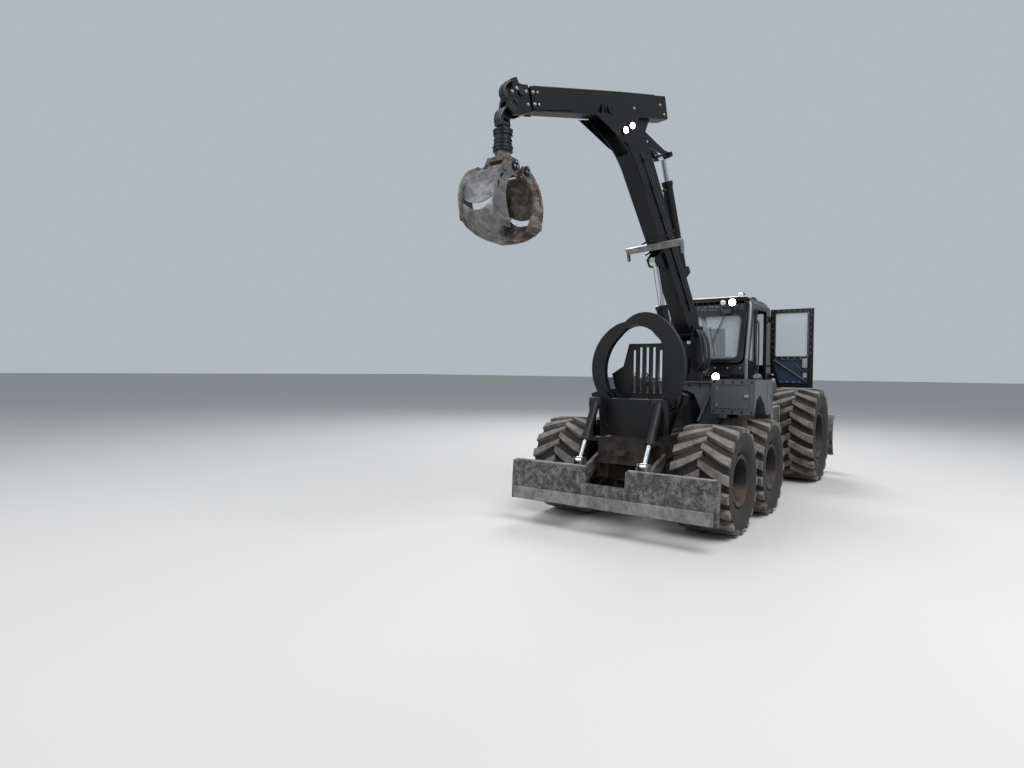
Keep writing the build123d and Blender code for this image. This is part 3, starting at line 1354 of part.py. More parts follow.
# Front blade on its push arms, with two lift cylinders
with BuildPart() as front_blade:
    blade_x = BOGIE_X + 5560
    with BuildSketch(side(0)) as mould:
        with BuildLine():
            ThreePointArc((blade_x + 150, 1130), (blade_x, 730), (blade_x + 130, 330))
            Line((blade_x + 130, 330), (blade_x + 90, 330))
            ThreePointArc((blade_x + 90, 330), (blade_x - 45, 730), (blade_x + 110, 1150))
            Line((blade_x + 110, 1150), (blade_x + 150, 1130))
        make_face()
    extrude(mould.sketch, amount=BLADE_HALF, both=True)
    for hand in (-1, 1):
        flat(
            side(hand * PUSH_ARM_Y),
            [
                (blade_x + 20, 400),
                (PUSH_PIVOT[0], PUSH_PIVOT[1] - 70),
                (PUSH_PIVOT[0] - 70, PUSH_PIVOT[1]),
                (PUSH_PIVOT[0], PUSH_PIVOT[1] + 70),
                (blade_x + 10, 680),
            ],
            60,
        )
        for reach in (-1, 1):
            flat(
                side(hand * PUSH_CYLINDER_Y + reach * (TWIN_EYE_HALF + RUNNING_GAP + LUG / 2)),
                [
                    (blade_x + 20, PUSH_EYE[1] - 110),
                    (PUSH_EYE[0] - 45, PUSH_EYE[1] - 40),
                    (PUSH_EYE[0] - 45, PUSH_EYE[1] + 40),
                    (blade_x + 20, PUSH_EYE[1] + 130),
                ],
                LUG,
            )
    block((PUSH_PIVOT[0] + 560, -PUSH_ARM_Y, 560), (PUSH_PIVOT[0] + 640, PUSH_ARM_Y, 640))
    for y in (-1240, -840, 840, 1240):
        with BuildSketch(side(y)) as rib:
            with BuildLine():
                ThreePointArc((blade_x + 105, 1120), (blade_x - 38, 730), (blade_x + 85, 350))
                Polyline((blade_x + 85, 350), (blade_x + 30, 350), (blade_x - 90, 600), (blade_x - 90, 860), (blade_x + 60, 1120), (blade_x + 105, 1120))
            make_face()
        extrude(rib.sketch, amount=12, both=True)
    for hand in (-1, 1):
        bar(
            (PUSH_PIVOT[0], hand * (PUSH_ARM_Y - 35), PUSH_PIVOT[1]),
            (PUSH_PIVOT[0], hand * (PUSH_ARM_Y + 35), PUSH_PIVOT[1]),
            BLADE_PIN + PIN_GAP,
            Mode.SUBTRACT,
        )
save(front_blade, "front_blade")


def twin_cylinders(reach, base, eye, barrel_length, tail, name):
    """A like pair of cylinders, one each side of the centre plane, as two nodes."""
    with BuildPart() as barrels:
        for hand in (-1, 1):
            start, end = Vector(base[0], hand * reach, base[1]), Vector(eye[0], hand * reach, eye[1])
            along, across = (end - start).normalized(), Vector(0, 1, 0)
            gland = start + along * barrel_length
            bar(tuple(start), tuple(gland), TWIN_BORE)
            bar(tuple(start - across * TWIN_HALF), tuple(start + across * TWIN_HALF), TWIN_BORE * 0.95)
            bar(tuple(gland - along * 60), tuple(gland), TWIN_BORE + 10)
            bar(tuple(start + along * 90), tuple(gland + along * 20), TWIN_ROD + PIN_GAP, Mode.SUBTRACT)
    save(barrels, f"{name}_barrels")
    with BuildPart() as rods:
        for hand in (-1, 1):
            start, end = Vector(base[0], hand * reach, base[1]), Vector(eye[0], hand * reach, eye[1])
            along, across = (end - start).normalized(), Vector(0, 1, 0)
            bar(tuple(start + along * tail), tuple(end), TWIN_ROD)
            bar(tuple(end - across * TWIN_EYE_HALF), tuple(end + across * TWIN_EYE_HALF), TWIN_ROD * 1.5)
    save(rods, f"{name}_rods")


twin_cylinders(PUSH_CYLINDER_Y, PUSH_BASE, PUSH_EYE, 505.0, 285.0, "front_blade")
twin_cylinders(LIFT_Y, LIFT_BASE, LIFT_EYE, 570.0, 351.0, "rear_blade")
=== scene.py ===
import math

import bmesh
import bpy
from mathutils import Matrix, Vector


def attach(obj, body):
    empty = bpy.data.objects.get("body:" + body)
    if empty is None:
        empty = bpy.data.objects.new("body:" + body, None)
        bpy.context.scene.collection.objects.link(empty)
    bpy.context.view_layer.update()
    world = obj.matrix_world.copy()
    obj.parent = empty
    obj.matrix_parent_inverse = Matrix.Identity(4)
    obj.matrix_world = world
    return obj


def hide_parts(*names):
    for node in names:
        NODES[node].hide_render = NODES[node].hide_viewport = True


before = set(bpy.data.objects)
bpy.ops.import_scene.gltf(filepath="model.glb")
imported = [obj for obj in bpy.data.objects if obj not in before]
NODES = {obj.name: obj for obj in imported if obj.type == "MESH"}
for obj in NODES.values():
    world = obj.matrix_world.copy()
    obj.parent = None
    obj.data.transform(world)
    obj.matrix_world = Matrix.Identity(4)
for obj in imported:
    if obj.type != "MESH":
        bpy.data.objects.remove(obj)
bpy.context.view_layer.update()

# Stations of the machine, in metres: +X forward, +Y left, +Z up
BOGIE = -1.237
CRANE = BOGIE + 0.93
FRONT_AXLE = BOGIE + 4.2
SLEW = math.radians(15)
OUT = Vector((-math.cos(SLEW), math.sin(SLEW), 0))
ACROSS = Vector((math.sin(SLEW), math.cos(SLEW), 0))
UP = Vector((0, 0, 1))
FOOT = (-0.02, 2.636)
BOOM_ANGLE = math.radians(61)
OUTER_ANGLE = math.radians(-13)
KNUCKLE = (3.49, -0.386)


class Plane:
    """A plane of the crane: local x, y and reach across give a point of the machine."""

    def __init__(self, origin, ahead, up, across):
        self.origin, self.ahead, self.up, self.across = origin, ahead, up, across

    def at(self, x, y, w=0.0):
        return self.origin + self.ahead * x + self.up * y + self.across * w

    def path(self, *spots):
        return [self.at(*spot) for spot in spots]

    def tilted(self, x, y, angle):
        ahead = self.ahead * math.cos(angle) + self.up * math.sin(angle)
        up = self.up * math.cos(angle) - self.ahead * math.sin(angle)
        return Plane(self.at(x, y), ahead, up, self.across)


def side_face(hand, reach):
    """A face of the machine's side: x from the bogie's axle, z up, and out from the machine."""
    return Plane(Vector((BOGIE, hand * reach, 0)), Vector((1, 0, 0)), UP, Vector((0, hand, 0)))


def rear_face(x, hand=-1):
    """A face that looks to the rear: y towards the hand's side, z up, and out to the rear."""
    return Plane(Vector((x, 0, 0)), Vector((0, hand, 0)), UP, Vector((-1, 0, 0)))


def oblong(x0, y0, x1, y1):
    """The four corners of a rectangle."""
    return [(x0, y0), (x1, y0), (x1, y1), (x0, y1)]


CRANE_SIDE = Plane(Vector((CRANE, 0, 0)), OUT, UP, ACROSS)
MAIN = CRANE_SIDE.tilted(*FOOT, BOOM_ANGLE)
OUTER = MAIN.tilted(*KNUCKLE, OUTER_ANGLE - BOOM_ANGLE)
MIDDLE = Plane(Vector((0, 0, 0)), Vector((1, 0, 0)), UP, Vector((0, -1, 0)))


class Shader:
    """Wraps a material's node tree: sockets in, sockets out."""

    def __init__(self, name):
        self.material = bpy.data.materials.new(name)
        self.material.use_nodes = True
        self.tree = self.material.node_tree
        self.surface = self.tree.nodes["Principled BSDF"]

    def node(self, kind, inputs=None, **settings):
        made = self.tree.nodes.new(kind)
        for key, value in settings.items():
            setattr(made, key, value)
        for key, value in (inputs or {}).items():
            self.feed(made.inputs[key], value)
        return made

    def feed(self, socket, value):
        if isinstance(value, bpy.types.NodeSocket):
            self.tree.links.new(value, socket)
        else:
            socket.default_value = value

    def where(self):
        return self.node("ShaderNodeTexCoord").outputs["Object"]

    def noise(self, scale, detail=6.0, rough=0.6, stretch=(1, 1, 1)):
        spread = self.node("ShaderNodeMapping", {"Vector": self.where(), "Scale": stretch})
        made = self.node(
            "ShaderNodeTexNoise",
            {"Vector": spread.outputs[0], "Scale": scale, "Detail": detail, "Roughness": rough},
        )
        return made.outputs["Fac"]

    def steps(self, value, low, high):
        made = self.node("ShaderNodeMapRange", {"Value": value, "From Min": low, "From Max": high})
        made.clamp = True
        return made.outputs["Result"]

    def maths(self, kind, a, b=0.0):
        made = self.node("ShaderNodeMath", operation=kind)
        self.feed(made.inputs[0], a)
        self.feed(made.inputs[1], b)
        return made.outputs[0]

    def mix(self, share, a, b):
        made = self.node("ShaderNodeMix", data_type="RGBA")
        self.feed(made.inputs["Factor"], share)
        self.feed(made.inputs[6], a)
        self.feed(made.inputs[7], b)
        return made.outputs[2]

    def bump(self, height, strength=0.3, distance=0.01):
        made = self.node("ShaderNodeBump", {"Height": height, "Strength": strength, "Distance": distance})
        self.feed(self.surface.inputs["Normal"], made.outputs[0])

    def set(self, **values):
        for key, value in values.items():
            self.feed(self.surface.inputs[key.replace("_", " ")], value)
        return self.material

    def height(self):
        split = self.node("ShaderNodeSeparateXYZ", {"Vector": self.where()})
        return split.outputs["Z"]


def rgb(r, g, b):
    return (r, g, b, 1.0)


MUD = rgb(0.105, 0.072, 0.048)
DUST = rgb(0.20, 0.165, 0.13)


def painted(name, colour, rough=0.38, dust=0.25, mud_to=1.3, coat=0.2):
    """Paint with dust in patches, chips, and mud low down."""
    s = Shader(name)
    patches = s.steps(s.noise(3.0), 0.45, 0.75)
    fine = s.steps(s.noise(38.0, 8), 0.52, 0.72)
    low = s.maths("SUBTRACT", 1.0, s.steps(s.height(), 0.5, mud_to))
    splash = s.maths("MULTIPLY", low, s.steps(s.noise(7.0, 9, 0.7), 0.38, 0.62))
    dusty = s.maths("MULTIPLY", s.maths("MULTIPLY", patches, fine), dust)
    base = s.mix(dusty, rgb(*colour), DUST)
    base = s.mix(splash, base, MUD)
    gloss = s.maths("ADD", rough, s.maths("MULTIPLY", splash, 0.45))
    gloss = s.maths("ADD", gloss, s.maths("MULTIPLY", dusty, 0.4))
    s.bump(s.noise(60.0, 6), 0.08, 0.004)
    return s.set(Base_Color=base, Roughness=gloss, Coat_Weight=coat, Metallic=0.0, Specular_IOR_Level=0.25)


def steel(name, colour, dark, rough=0.42, scale=6.0, metallic=0.75, rust=0.25):
    """Bare worn steel with scratches along X and rust in patches."""
    s = Shader(name)
    wear = s.steps(s.noise(scale, 8), 0.35, 0.7)
    scratch = s.steps(s.noise(14.0, 10, 0.7, (0.15, 1, 1)), 0.45, 0.62)
    rusty = s.maths("MULTIPLY", s.steps(s.noise(4.5, 9, 0.65), 0.5, 0.72), rust)
    base = s.mix(wear, rgb(*colour), rgb(*dark))
    base = s.mix(s.maths("MULTIPLY", scratch, 0.35), base, rgb(0.42, 0.41, 0.40))
    base = s.mix(rusty, base, rgb(0.13, 0.062, 0.032))
    s.bump(s.noise(30.0, 8), 0.2, 0.006)
    return s.set(
        Base_Color=base,
        Metallic=s.maths("SUBTRACT", metallic, s.maths("MULTIPLY", rusty, 0.8)),
        Roughness=s.maths("ADD", rough, s.maths("MULTIPLY", wear, 0.2)),
    )


def plain(name, colour, rough=0.5, metallic=0.0, **more):
    s = Shader(name)
    return s.set(Base_Color=rgb(*colour), Roughness=rough, Metallic=metallic, **more)


def rubber(name):
    """Tyre rubber with dried mud between and on the lugs."""
    s = Shader(name)
    cake = s.steps(s.noise(5.0, 9, 0.7), 0.36, 0.62)
    speck = s.steps(s.noise(45.0, 8), 0.42, 0.66)
    share = s.maths(
        "MINIMUM", s.maths("ADD", s.maths("MULTIPLY", cake, 0.75), s.maths("MULTIPLY", speck, 0.25)), 1.0
    )
    base = s.mix(share, rgb(0.030, 0.027, 0.026), rgb(0.20, 0.178, 0.160))
    s.bump(s.noise(70.0, 8), 0.5, 0.01)
    return s.set(Base_Color=base, Roughness=s.maths("ADD", 0.72, s.maths("MULTIPLY", share, 0.2)))


M = {
    "black": painted("black_paint", (0.005, 0.0055, 0.007), rough=0.42, dust=0.10, coat=0.0),
    "boom": painted("boom_paint", (0.004, 0.0045, 0.006), rough=0.32, dust=0.07, coat=0.05),
    "grey": painted("fender_paint", (0.075, 0.083, 0.092), rough=0.42, dust=0.4, mud_to=1.9),
    "cab": painted("cab_paint", (0.005, 0.005, 0.006), rough=0.30, dust=0.10, coat=0.1),
    "rim": painted("rim_paint", (0.020, 0.019, 0.019), rough=0.55, dust=0.3, mud_to=0.6),
    "blade": steel("blade_steel", (0.060, 0.060, 0.058), (0.022, 0.022, 0.021), metallic=0.4),
    "shell": steel("shell_steel", (0.17, 0.172, 0.175), (0.075, 0.075, 0.075), rust=0.3),
    "brown": steel("shell_brown", (0.060, 0.044, 0.034), (0.030, 0.025, 0.021), rust=0.6, metallic=0.25),
    "chrome": plain("rod_chrome", (0.62, 0.63, 0.65), 0.13, 1.0),
    "steel": steel("light_steel", (0.36, 0.36, 0.36), (0.22, 0.22, 0.22), rust=0.1),
    "rubber": rubber("tyre_rubber"),
    "hose": plain("hose_rubber", (0.014, 0.014, 0.015), 0.45),
    "trim": plain("black_trim", (0.016, 0.016, 0.018), 0.55),
    "seat": plain("seat_cloth", (0.03, 0.03, 0.034), 0.9),
    "red": plain("red_trim", (0.42, 0.035, 0.02), 0.45),
    "beige": plain("step_beige", (0.33, 0.30, 0.24), 0.6),
    "lamp_on": plain(
        "lamp_lit", (1, 0.95, 0.85), 0.2, Emission_Color=rgb(1, 0.90, 0.72), Emission_Strength=14.0
    ),
    "lens": plain("lamp_lens", (0.75, 0.77, 0.8), 0.08, 0.2),
    "edge": steel("wear_edge", (0.26, 0.255, 0.25), (0.12, 0.115, 0.11), rough=0.4, rust=0.3),
    # Darker than the lugs' rubber: painted shade in the grooves between the lugs, on the carcass
    "groove": plain("tyre_groove_painted_shade", (0.015, 0.013, 0.012), 0.9),
    "rusty": steel("rusty_steel", (0.10, 0.055, 0.035), (0.05, 0.03, 0.022), rust=0.8, metallic=0.2),
    # Lighter grey for the rear pillars and the portal ribs: a painted highlight that stands for a sunlit
    # gloss
    "pillar": plain("pillar_painted_highlight", (0.15, 0.155, 0.16), 0.25, 0.1),
    "navy": painted("door_panel_blue", (0.016, 0.028, 0.055), rough=0.35, dust=0.25),
    "exhaust": steel("exhaust_steel", (0.16, 0.14, 0.125), (0.09, 0.075, 0.065), rust=0.5),
}
glass = Shader("window_glass")
M["glass"] = glass.set(Base_Color=rgb(0.32, 0.37, 0.38), Roughness=0.04, Alpha=0.26, Metallic=0.0)

NODE_MATERIAL = {
    "glass": ("cab_glass", "door_glass"),
    "cab": ("cab_shell", "cab_guards", "door_frame", "hood"),
    "boom": (
        "main_boom",
        "outer_boom",
        "boom_extension",
        "crane_column",
        "swing_link",
        "knuckle_rocker",
        "knuckle_link",
    ),
    "grey": ("rear_fenders", "side_boxes"),
    "blade": ("rear_blade", "front_blade"),
    "shell": ("grapple_shell_outer",),
    "brown": ("grapple_shell_inner", "grapple_crown"),
    "edge": ("boom_crossbar",),
    "seat": ("cab_interior",),
    "exhaust": ("exhaust_stack",),
}
MATERIAL_OF = {node: key for key, names in NODE_MATERIAL.items() for node in names}
for name, shown in NODES.items():
    key = MATERIAL_OF.get(name)
    if key is None and name.startswith("tyre_"):
        key = "rubber"
    if key is None and name.startswith("rim_"):
        key = "rim"
    if key is None and (name.endswith("_rod") or name.endswith("_rods")):
        key = "chrome"
    shown.data.materials.clear()
    shown.data.materials.append(M[key or "black"])


LEAST_RADIUS = 0.0005
SHARP_OVER = math.radians(35)


def circle(centre, u, v, radius, sides):
    """Points of a circle in the plane of u and v."""
    angles = [2 * math.pi * k / sides for k in range(sides)]
    return [centre + (u * math.cos(a) + v * math.sin(a)) * radius for a in angles]


def shade_smooth(data):
    data.polygons.foreach_set("use_smooth", [True] * len(data.polygons))
    data.set_sharp_from_angle(angle=SHARP_OVER)


class Build:
    """Collects plates, blocks, tubes and turned shapes into one mesh, in the machine's frame."""

    def __init__(self):
        self.mesh = bmesh.new()

    def loft(self, rings, closed=True, caps=True):
        """Faces between rings of points; closed joins each ring's ends, caps fills the two ends."""
        rows = [[self.mesh.verts.new(p) for p in ring] for ring in rings]
        for a, b in zip(rows, rows[1:]):
            count = len(a)
            for n in range(count if closed else count - 1):
                m = (n + 1) % count
                self.mesh.faces.new((a[n], a[m], b[m], b[n]))
        if caps:
            self.mesh.faces.new(rows[0][::-1])
            self.mesh.faces.new(rows[-1])

    def plate(self, plane, outline, low, high):
        self.loft([[plane.at(x, y, w) for x, y in outline] for w in (low, high)])

    def block(self, low, high):
        xs, ys, zs = zip(low, high)
        base = oblong(xs[0], ys[0], xs[1], ys[1])
        self.loft([[(x, y, z) for x, y in base] for z in zs])

    def tube(self, points, radius, sides=12):
        points = [Vector(p) for p in points]
        normal = None
        rings = []
        for n, p in enumerate(points):
            before, after = points[max(n - 1, 0)], points[min(n + 1, len(points) - 1)]
            along = (after - before).normalized()
            if normal is None:
                normal = along.orthogonal().normalized()
            normal = (normal - along * normal.dot(along)).normalized()
            side = along.cross(normal)
            radii = radius if isinstance(radius, (int, float)) else radius[n]
            rings.append(circle(p, normal, side, radii, sides))
        self.loft(rings)

    def turned(self, centre, axis, profile, sides=40, hollow=False):
        """A shape turned about an axis by a profile of (distance along the axis, radius).

        A hollow one is a ring with no end faces.
        """
        axis = Vector(axis).normalized()
        u = axis.orthogonal().normalized()
        v = axis.cross(u)
        centre = Vector(centre)
        rings = []
        for along, radius in profile:
            rings.append(circle(centre + axis * along, u, v, max(radius, LEAST_RADIUS), sides))
        if hollow:
            self.loft(rings + rings[:1], caps=False)
            bmesh.ops.remove_doubles(self.mesh, verts=self.mesh.verts, dist=0.00001)
        else:
            self.loft(rings)

    def done(self, name, material, bevel=0.0, smooth=False):
        bmesh.ops.recalc_face_normals(self.mesh, faces=self.mesh.faces)
        data = bpy.data.meshes.new(name)
        self.mesh.to_mesh(data)
        self.mesh.free()
        made = bpy.data.objects.new(name, data)
        bpy.context.collection.objects.link(made)
        data.materials.append(M[material])
        if smooth:
            shade_smooth(data)
        if bevel:
            soften(made, bevel)
        return made


def soften(made, width, turns=2):
    """Rounds an object's sharp edges, so that they catch the light."""
    rounded = made.modifiers.new("bevel", "BEVEL")
    rounded.width = width
    rounded.segments = turns
    rounded.limit_method = "ANGLE"
    rounded.angle_limit = math.radians(40)
    rounded.harden_normals = False


def settle(made, body):
    """A finished piece rides on its body."""
    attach(made, body)
    return made


def settled(shape, name, material, body, bevel=0.0, smooth=False):
    """Finishes a shape as one object, and settles it on its body."""
    return settle(shape.done(name, material, bevel, smooth), body)


def repeat_tree():
    """Copies of a piece at start + n * step, turned by phase + n * turn, made real, in one material."""
    tree = bpy.data.node_groups.new("repeat", "GeometryNodeTree")
    tree.interface.new_socket("Geometry", in_out="OUTPUT", socket_type="NodeSocketGeometry")
    for label, kind in (
        ("Piece", "NodeSocketObject"),
        ("Count", "NodeSocketInt"),
        ("Start", "NodeSocketVector"),
        ("Step", "NodeSocketVector"),
        ("Phase", "NodeSocketVector"),
        ("Turn", "NodeSocketVector"),
        ("Finish", "NodeSocketMaterial"),
    ):
        tree.interface.new_socket(label, in_out="INPUT", socket_type=kind)

    def node(kind, **settings):
        made = tree.nodes.new(kind)
        for key, value in settings.items():
            setattr(made, key, value)
        return made

    given = node("NodeGroupInput")
    index = node("GeometryNodeInputIndex")

    def along(first, each):
        scaled = node("ShaderNodeVectorMath", operation="SCALE")
        tree.links.new(given.outputs[each], scaled.inputs[0])
        tree.links.new(index.outputs[0], scaled.inputs["Scale"])
        total = node("ShaderNodeVectorMath", operation="ADD")
        tree.links.new(given.outputs[first], total.inputs[0])
        tree.links.new(scaled.outputs[0], total.inputs[1])
        return total.outputs[0]

    points = node("GeometryNodePoints")
    tree.links.new(given.outputs["Count"], points.inputs["Count"])
    tree.links.new(along("Start", "Step"), points.inputs["Position"])
    piece = node("GeometryNodeObjectInfo", transform_space="ORIGINAL")
    tree.links.new(given.outputs["Piece"], piece.inputs["Object"])
    copies = node("GeometryNodeInstanceOnPoints")
    tree.links.new(points.outputs[0], copies.inputs["Points"])
    tree.links.new(piece.outputs["Geometry"], copies.inputs["Instance"])
    tree.links.new(along("Phase", "Turn"), copies.inputs["Rotation"])
    real = node("GeometryNodeRealizeInstances")
    tree.links.new(copies.outputs[0], real.inputs[0])
    finish = node("GeometryNodeSetMaterial")
    tree.links.new(real.outputs[0], finish.inputs["Geometry"])
    tree.links.new(given.outputs["Finish"], finish.inputs["Material"])
    result = node("NodeGroupOutput")
    tree.links.new(finish.outputs[0], result.inputs[0])
    return tree


REPEAT = repeat_tree()
SOCKET = {s.name: s.identifier for s in REPEAT.interface.items_tree if s.in_out == "INPUT"}


def repeated(piece, count, material, start=(0, 0, 0), step=(0, 0, 0), phase=(0, 0, 0), turn=(0, 0, 0)):
    """A plain mesh of count copies of a piece, in rows or rings."""
    carrier = bpy.data.objects.new("carrier", bpy.data.meshes.new("carrier"))
    bpy.context.collection.objects.link(carrier)
    grown = carrier.modifiers.new("repeat", "NODES")
    grown.node_group = REPEAT
    for label, value in (
        ("Piece", piece),
        ("Count", count),
        ("Start", start),
        ("Step", step),
        ("Phase", phase),
        ("Turn", turn),
        ("Finish", M[material]),
    ):
        grown[SOCKET[label]] = value
    bpy.context.view_layer.update()
    data = bpy.data.meshes.new_from_object(carrier.evaluated_get(bpy.context.evaluated_depsgraph_get()))
    bpy.data.objects.remove(carrier)
    return data


def joined(name, parts, material, body, smooth=False):
    """One object from meshes that lie in the machine's frame."""
    whole = bmesh.new()
    for data in parts:
        whole.from_mesh(data)
    data = bpy.data.meshes.new(name)
    whole.to_mesh(data)
    whole.free()
    data.materials.append(M[material])
    made = bpy.data.objects.new(name, data)
    bpy.context.collection.objects.link(made)
    if smooth:
        shade_smooth(data)
    return settle(made, body)


def scrap(made):
    """Takes a helper object's mesh and drops the object."""
    data = made.data
    bpy.data.objects.remove(made)
    return data


# Tyres: a rounded carcass and two rows of chevron lugs that run down the sidewall
# Diameter, width, rim radius, lugs a side, lug height
BOGIE_WHEEL = (1.345, 0.710, 0.322, 18, 0.050)
FRONT_WHEEL = (1.720, 0.780, 0.425, 20, 0.060)
WHEELS = [
    ("rear_right", BOGIE - 0.75, -1, *BOGIE_WHEEL),
    ("mid_right", BOGIE + 0.75, -1, *BOGIE_WHEEL),
    ("rear_left", BOGIE - 0.75, 1, *BOGIE_WHEEL),
    ("mid_left", BOGIE + 0.75, 1, *BOGIE_WHEEL),
    ("front_right", FRONT_AXLE, -1, *FRONT_WHEEL),
    ("front_left", FRONT_AXLE, 1, *FRONT_WHEEL),
]
TRACK_HALF = 0.995


def crown(share, tread, drop):
    """The carcass radius at a share of the half width: flat in the middle, falling at the shoulder."""
    return tread - drop * abs(share) ** 3.2


def lug_mesh(half, tread, top, lugs, row):
    """One lug from just past the middle to the sidewall, as rings of a four-sided bar."""
    step = 2 * math.pi * top / lugs
    shape = Build()
    rings = []
    stations = (-0.04, 0.10, 0.30, 0.52, 0.72, 0.88, 0.985, 1.0)
    for n, s in enumerate(stations):
        lead = half * (0.52 * (1 - s) ** 1.25 - 0.10) if s < 1 else -half * 0.10
        wide = step * (0.205 + 0.055 * s)
        base = crown(s, tread, 0.028) - 0.02
        high = top - 0.016 * max(s, 0) ** 4
        if n == len(stations) - 1:
            base, high = tread - 0.115, tread - 0.085
        y = row * half * min(s, 0.985)
        ring = []
        for dx, r in ((-wide * 1.25, base), (-wide * 0.86, high), (wide * 0.86, high), (wide * 1.25, base)):
            angle = (lead + dx) / top
            ring.append((r * math.sin(angle), y, r * math.cos(angle)))
        rings.append(ring)
    shape.loft(rings)
    return shape.done("lug", "rubber")


def make_wheel(name, x, hand, diameter, width, rim, lugs, lug_height):
    top, half = diameter / 2, width / 2
    tread = top - lug_height
    wall = tread - rim
    shape = Build()
    shares = (-0.985, -0.9, -0.75, -0.5, -0.25, 0, 0.25, 0.5, 0.75, 0.9, 0.985)
    sidewall = [
        (0.80, rim + 0.01), (0.88, rim + wall * 0.12), (0.985, rim + wall * 0.42), (0.99, tread - 0.075)
    ]
    profile = [(-half * s, r) for s, r in sidewall]
    profile += [(half * s, crown(s, tread, 0.028)) for s in shares]
    profile += [(half * s, r) for s, r in sidewall[::-1]]
    rings = []
    sides = 88
    for k in range(sides + 1):
        a = 2 * math.pi * k / sides
        rings.append([(r * math.sin(a), y, r * math.cos(a)) for y, r in profile])
    shape.loft(rings, closed=False, caps=False)
    body = shape.done("carcass", "rubber", smooth=False)
    bmesh_data = bmesh.new()
    bmesh_data.from_mesh(body.data)
    bmesh.ops.remove_doubles(bmesh_data, verts=bmesh_data.verts, dist=0.0005)
    bmesh_data.to_mesh(body.data)
    bmesh_data.free()
    carcass = scrap(body)
    parts = []
    for row in (-1, 1):
        one = lug_mesh(half, tread, top, lugs, row)
        phase = 0 if row < 0 else math.pi / lugs
        parts.append(repeated(one, lugs, "rubber", phase=(0, phase, 0), turn=(0, 2 * math.pi / lugs, 0)))
        scrap(one)
    centre = Vector((x, hand * TRACK_HALF, diameter / 2))
    for data in parts + [carcass]:
        data.transform(Matrix.Translation(centre))
    # The carcass takes the darker groove colour, which is painted shade between the lugs
    joined(f"tyre_{name}_carcass", [carcass], "groove", f"wheel_{name}", smooth=True)
    made = joined(f"tyre_{name}_tread", parts, "rubber", f"wheel_{name}", smooth=True)
    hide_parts(f"tyre_{name}")

    # Wheel nuts, a hub cap and the rim's edge
    face = centre.y + hand * (width * 0.15 - 0.04)
    nut = Build()
    nut.turned((0, 0, 0), (0, hand, 0), [(0, 0.017), (0.022, 0.017), (0.026, 0.012), (0.04, 0.012)], sides=6)
    nut = nut.done("nut", "rim")
    nut.data.transform(Matrix.Translation((0.0, 0.0, rim * 0.62)))
    ring = repeated(nut, 12, "rim", turn=(0, 2 * math.pi / 12, 0))
    ring.transform(Matrix.Translation((centre.x, face, centre.z)))
    scrap(nut)
    cap = Build()
    cap.turned(
        (centre.x, face + hand * 0.005, centre.z),
        (0, hand, 0),
        [(0, 0.135), (0.05, 0.13), (0.075, 0.105), (0.09, 0.06), (0.095, 0.0)],
    )
    edge = Build()
    out = width * 0.43
    edge.turned(
        (centre.x, centre.y + hand * out, centre.z),
        (0, hand, 0),
        [
            (-0.03, rim - 0.002),
            (0.004, rim + 0.004),
            (0.012, rim - 0.006),
            (0.006, rim - 0.02),
            (-0.03, rim - 0.022),
        ],
        sides=64,
        hollow=True,
    )
    data = [ring, scrap(cap.done("cap", "rim")), scrap(edge.done("edge", "rim"))]
    joined(f"rim_{name}_hub", data, "rim", f"wheel_{name}", smooth=True)


for wheel in WHEELS:
    make_wheel(*wheel)


# A hex bolt head with its washer, about +Z, for rows and rings
bolt_shape = Build()
bolt_shape.turned((0, 0, 0), (0, 0, 1), [(0, 0.021), (0.004, 0.021)], sides=16)
bolt_shape.turned((0, 0, 0.004), (0, 0, 1), [(0, 0.0145), (0.011, 0.0145), (0.013, 0.011)], sides=6)
BOLT = scrap(bolt_shape.done("bolt", "black"))


def turned_to(axis):
    """The turn that brings +Z onto an axis."""
    return Vector(axis).to_track_quat("Z", "Y").to_matrix().to_4x4()


def bolt_copies(held, count, **placing):
    """One mesh of copies of a bolt head."""
    one = bpy.data.objects.new("one", held)
    bpy.context.collection.objects.link(one)
    data = repeated(one, count, "black", **placing)
    bpy.data.objects.remove(one)
    return data


def bolts(spots, axis, size=1.0):
    """Meshes of bolt heads at given points, facing along an axis."""
    facing = turned_to(axis)
    found = []
    for spot in spots:
        data = BOLT.copy()
        data.transform(Matrix.Translation(Vector(spot)) @ facing @ Matrix.Scale(size, 4))
        found.append(data)
    return found


def bolt_ring(centre, axis, radius, count, size=1.0):
    """A ring of bolt heads about a centre, facing along an axis."""
    held = BOLT.copy()
    held.transform(Matrix.Translation((radius, 0, 0)) @ Matrix.Scale(size, 4))
    data = bolt_copies(held, count, turn=(0, 0, 2 * math.pi / count))
    facing = turned_to(axis)
    data.transform(Matrix.Translation(Vector(centre)) @ facing)
    return data


def bolt_row(start, end, count, axis, size=1.0):
    """A straight row of bolt heads from one point to another."""
    facing = turned_to(axis)
    held = BOLT.copy()
    held.transform(facing @ Matrix.Scale(size, 4))
    start, end = Vector(start), Vector(end)
    step = (end - start) / max(count - 1, 1)
    return bolt_copies(held, count, start=tuple(start), step=tuple(step))


def bend(points, spans=6):
    """A smooth run through points, for clipped pipes and hoses."""
    points = [Vector(p) for p in points]
    run = []
    for n in range(len(points) - 1):
        a = points[max(n - 1, 0)]
        b, c = points[n], points[n + 1]
        d = points[min(n + 2, len(points) - 1)]
        for k in range(spans):
            t = k / spans
            curve = 2 * b + (c - a) * t
            curve += (2 * a - 5 * b + 4 * c - d) * t * t
            curve += (3 * b - 3 * c + d - a) * t ** 3
            run.append(0.5 * curve)
    run.append(points[-1])
    return run


def pipes(name, runs, radius, material, body, sides=10):
    """Several clipped pipes or hoses in one piece."""
    shape = Build()
    for run in runs:
        shape.tube(bend(run), radius, sides)
    return settled(shape, name, material, body, smooth=True)


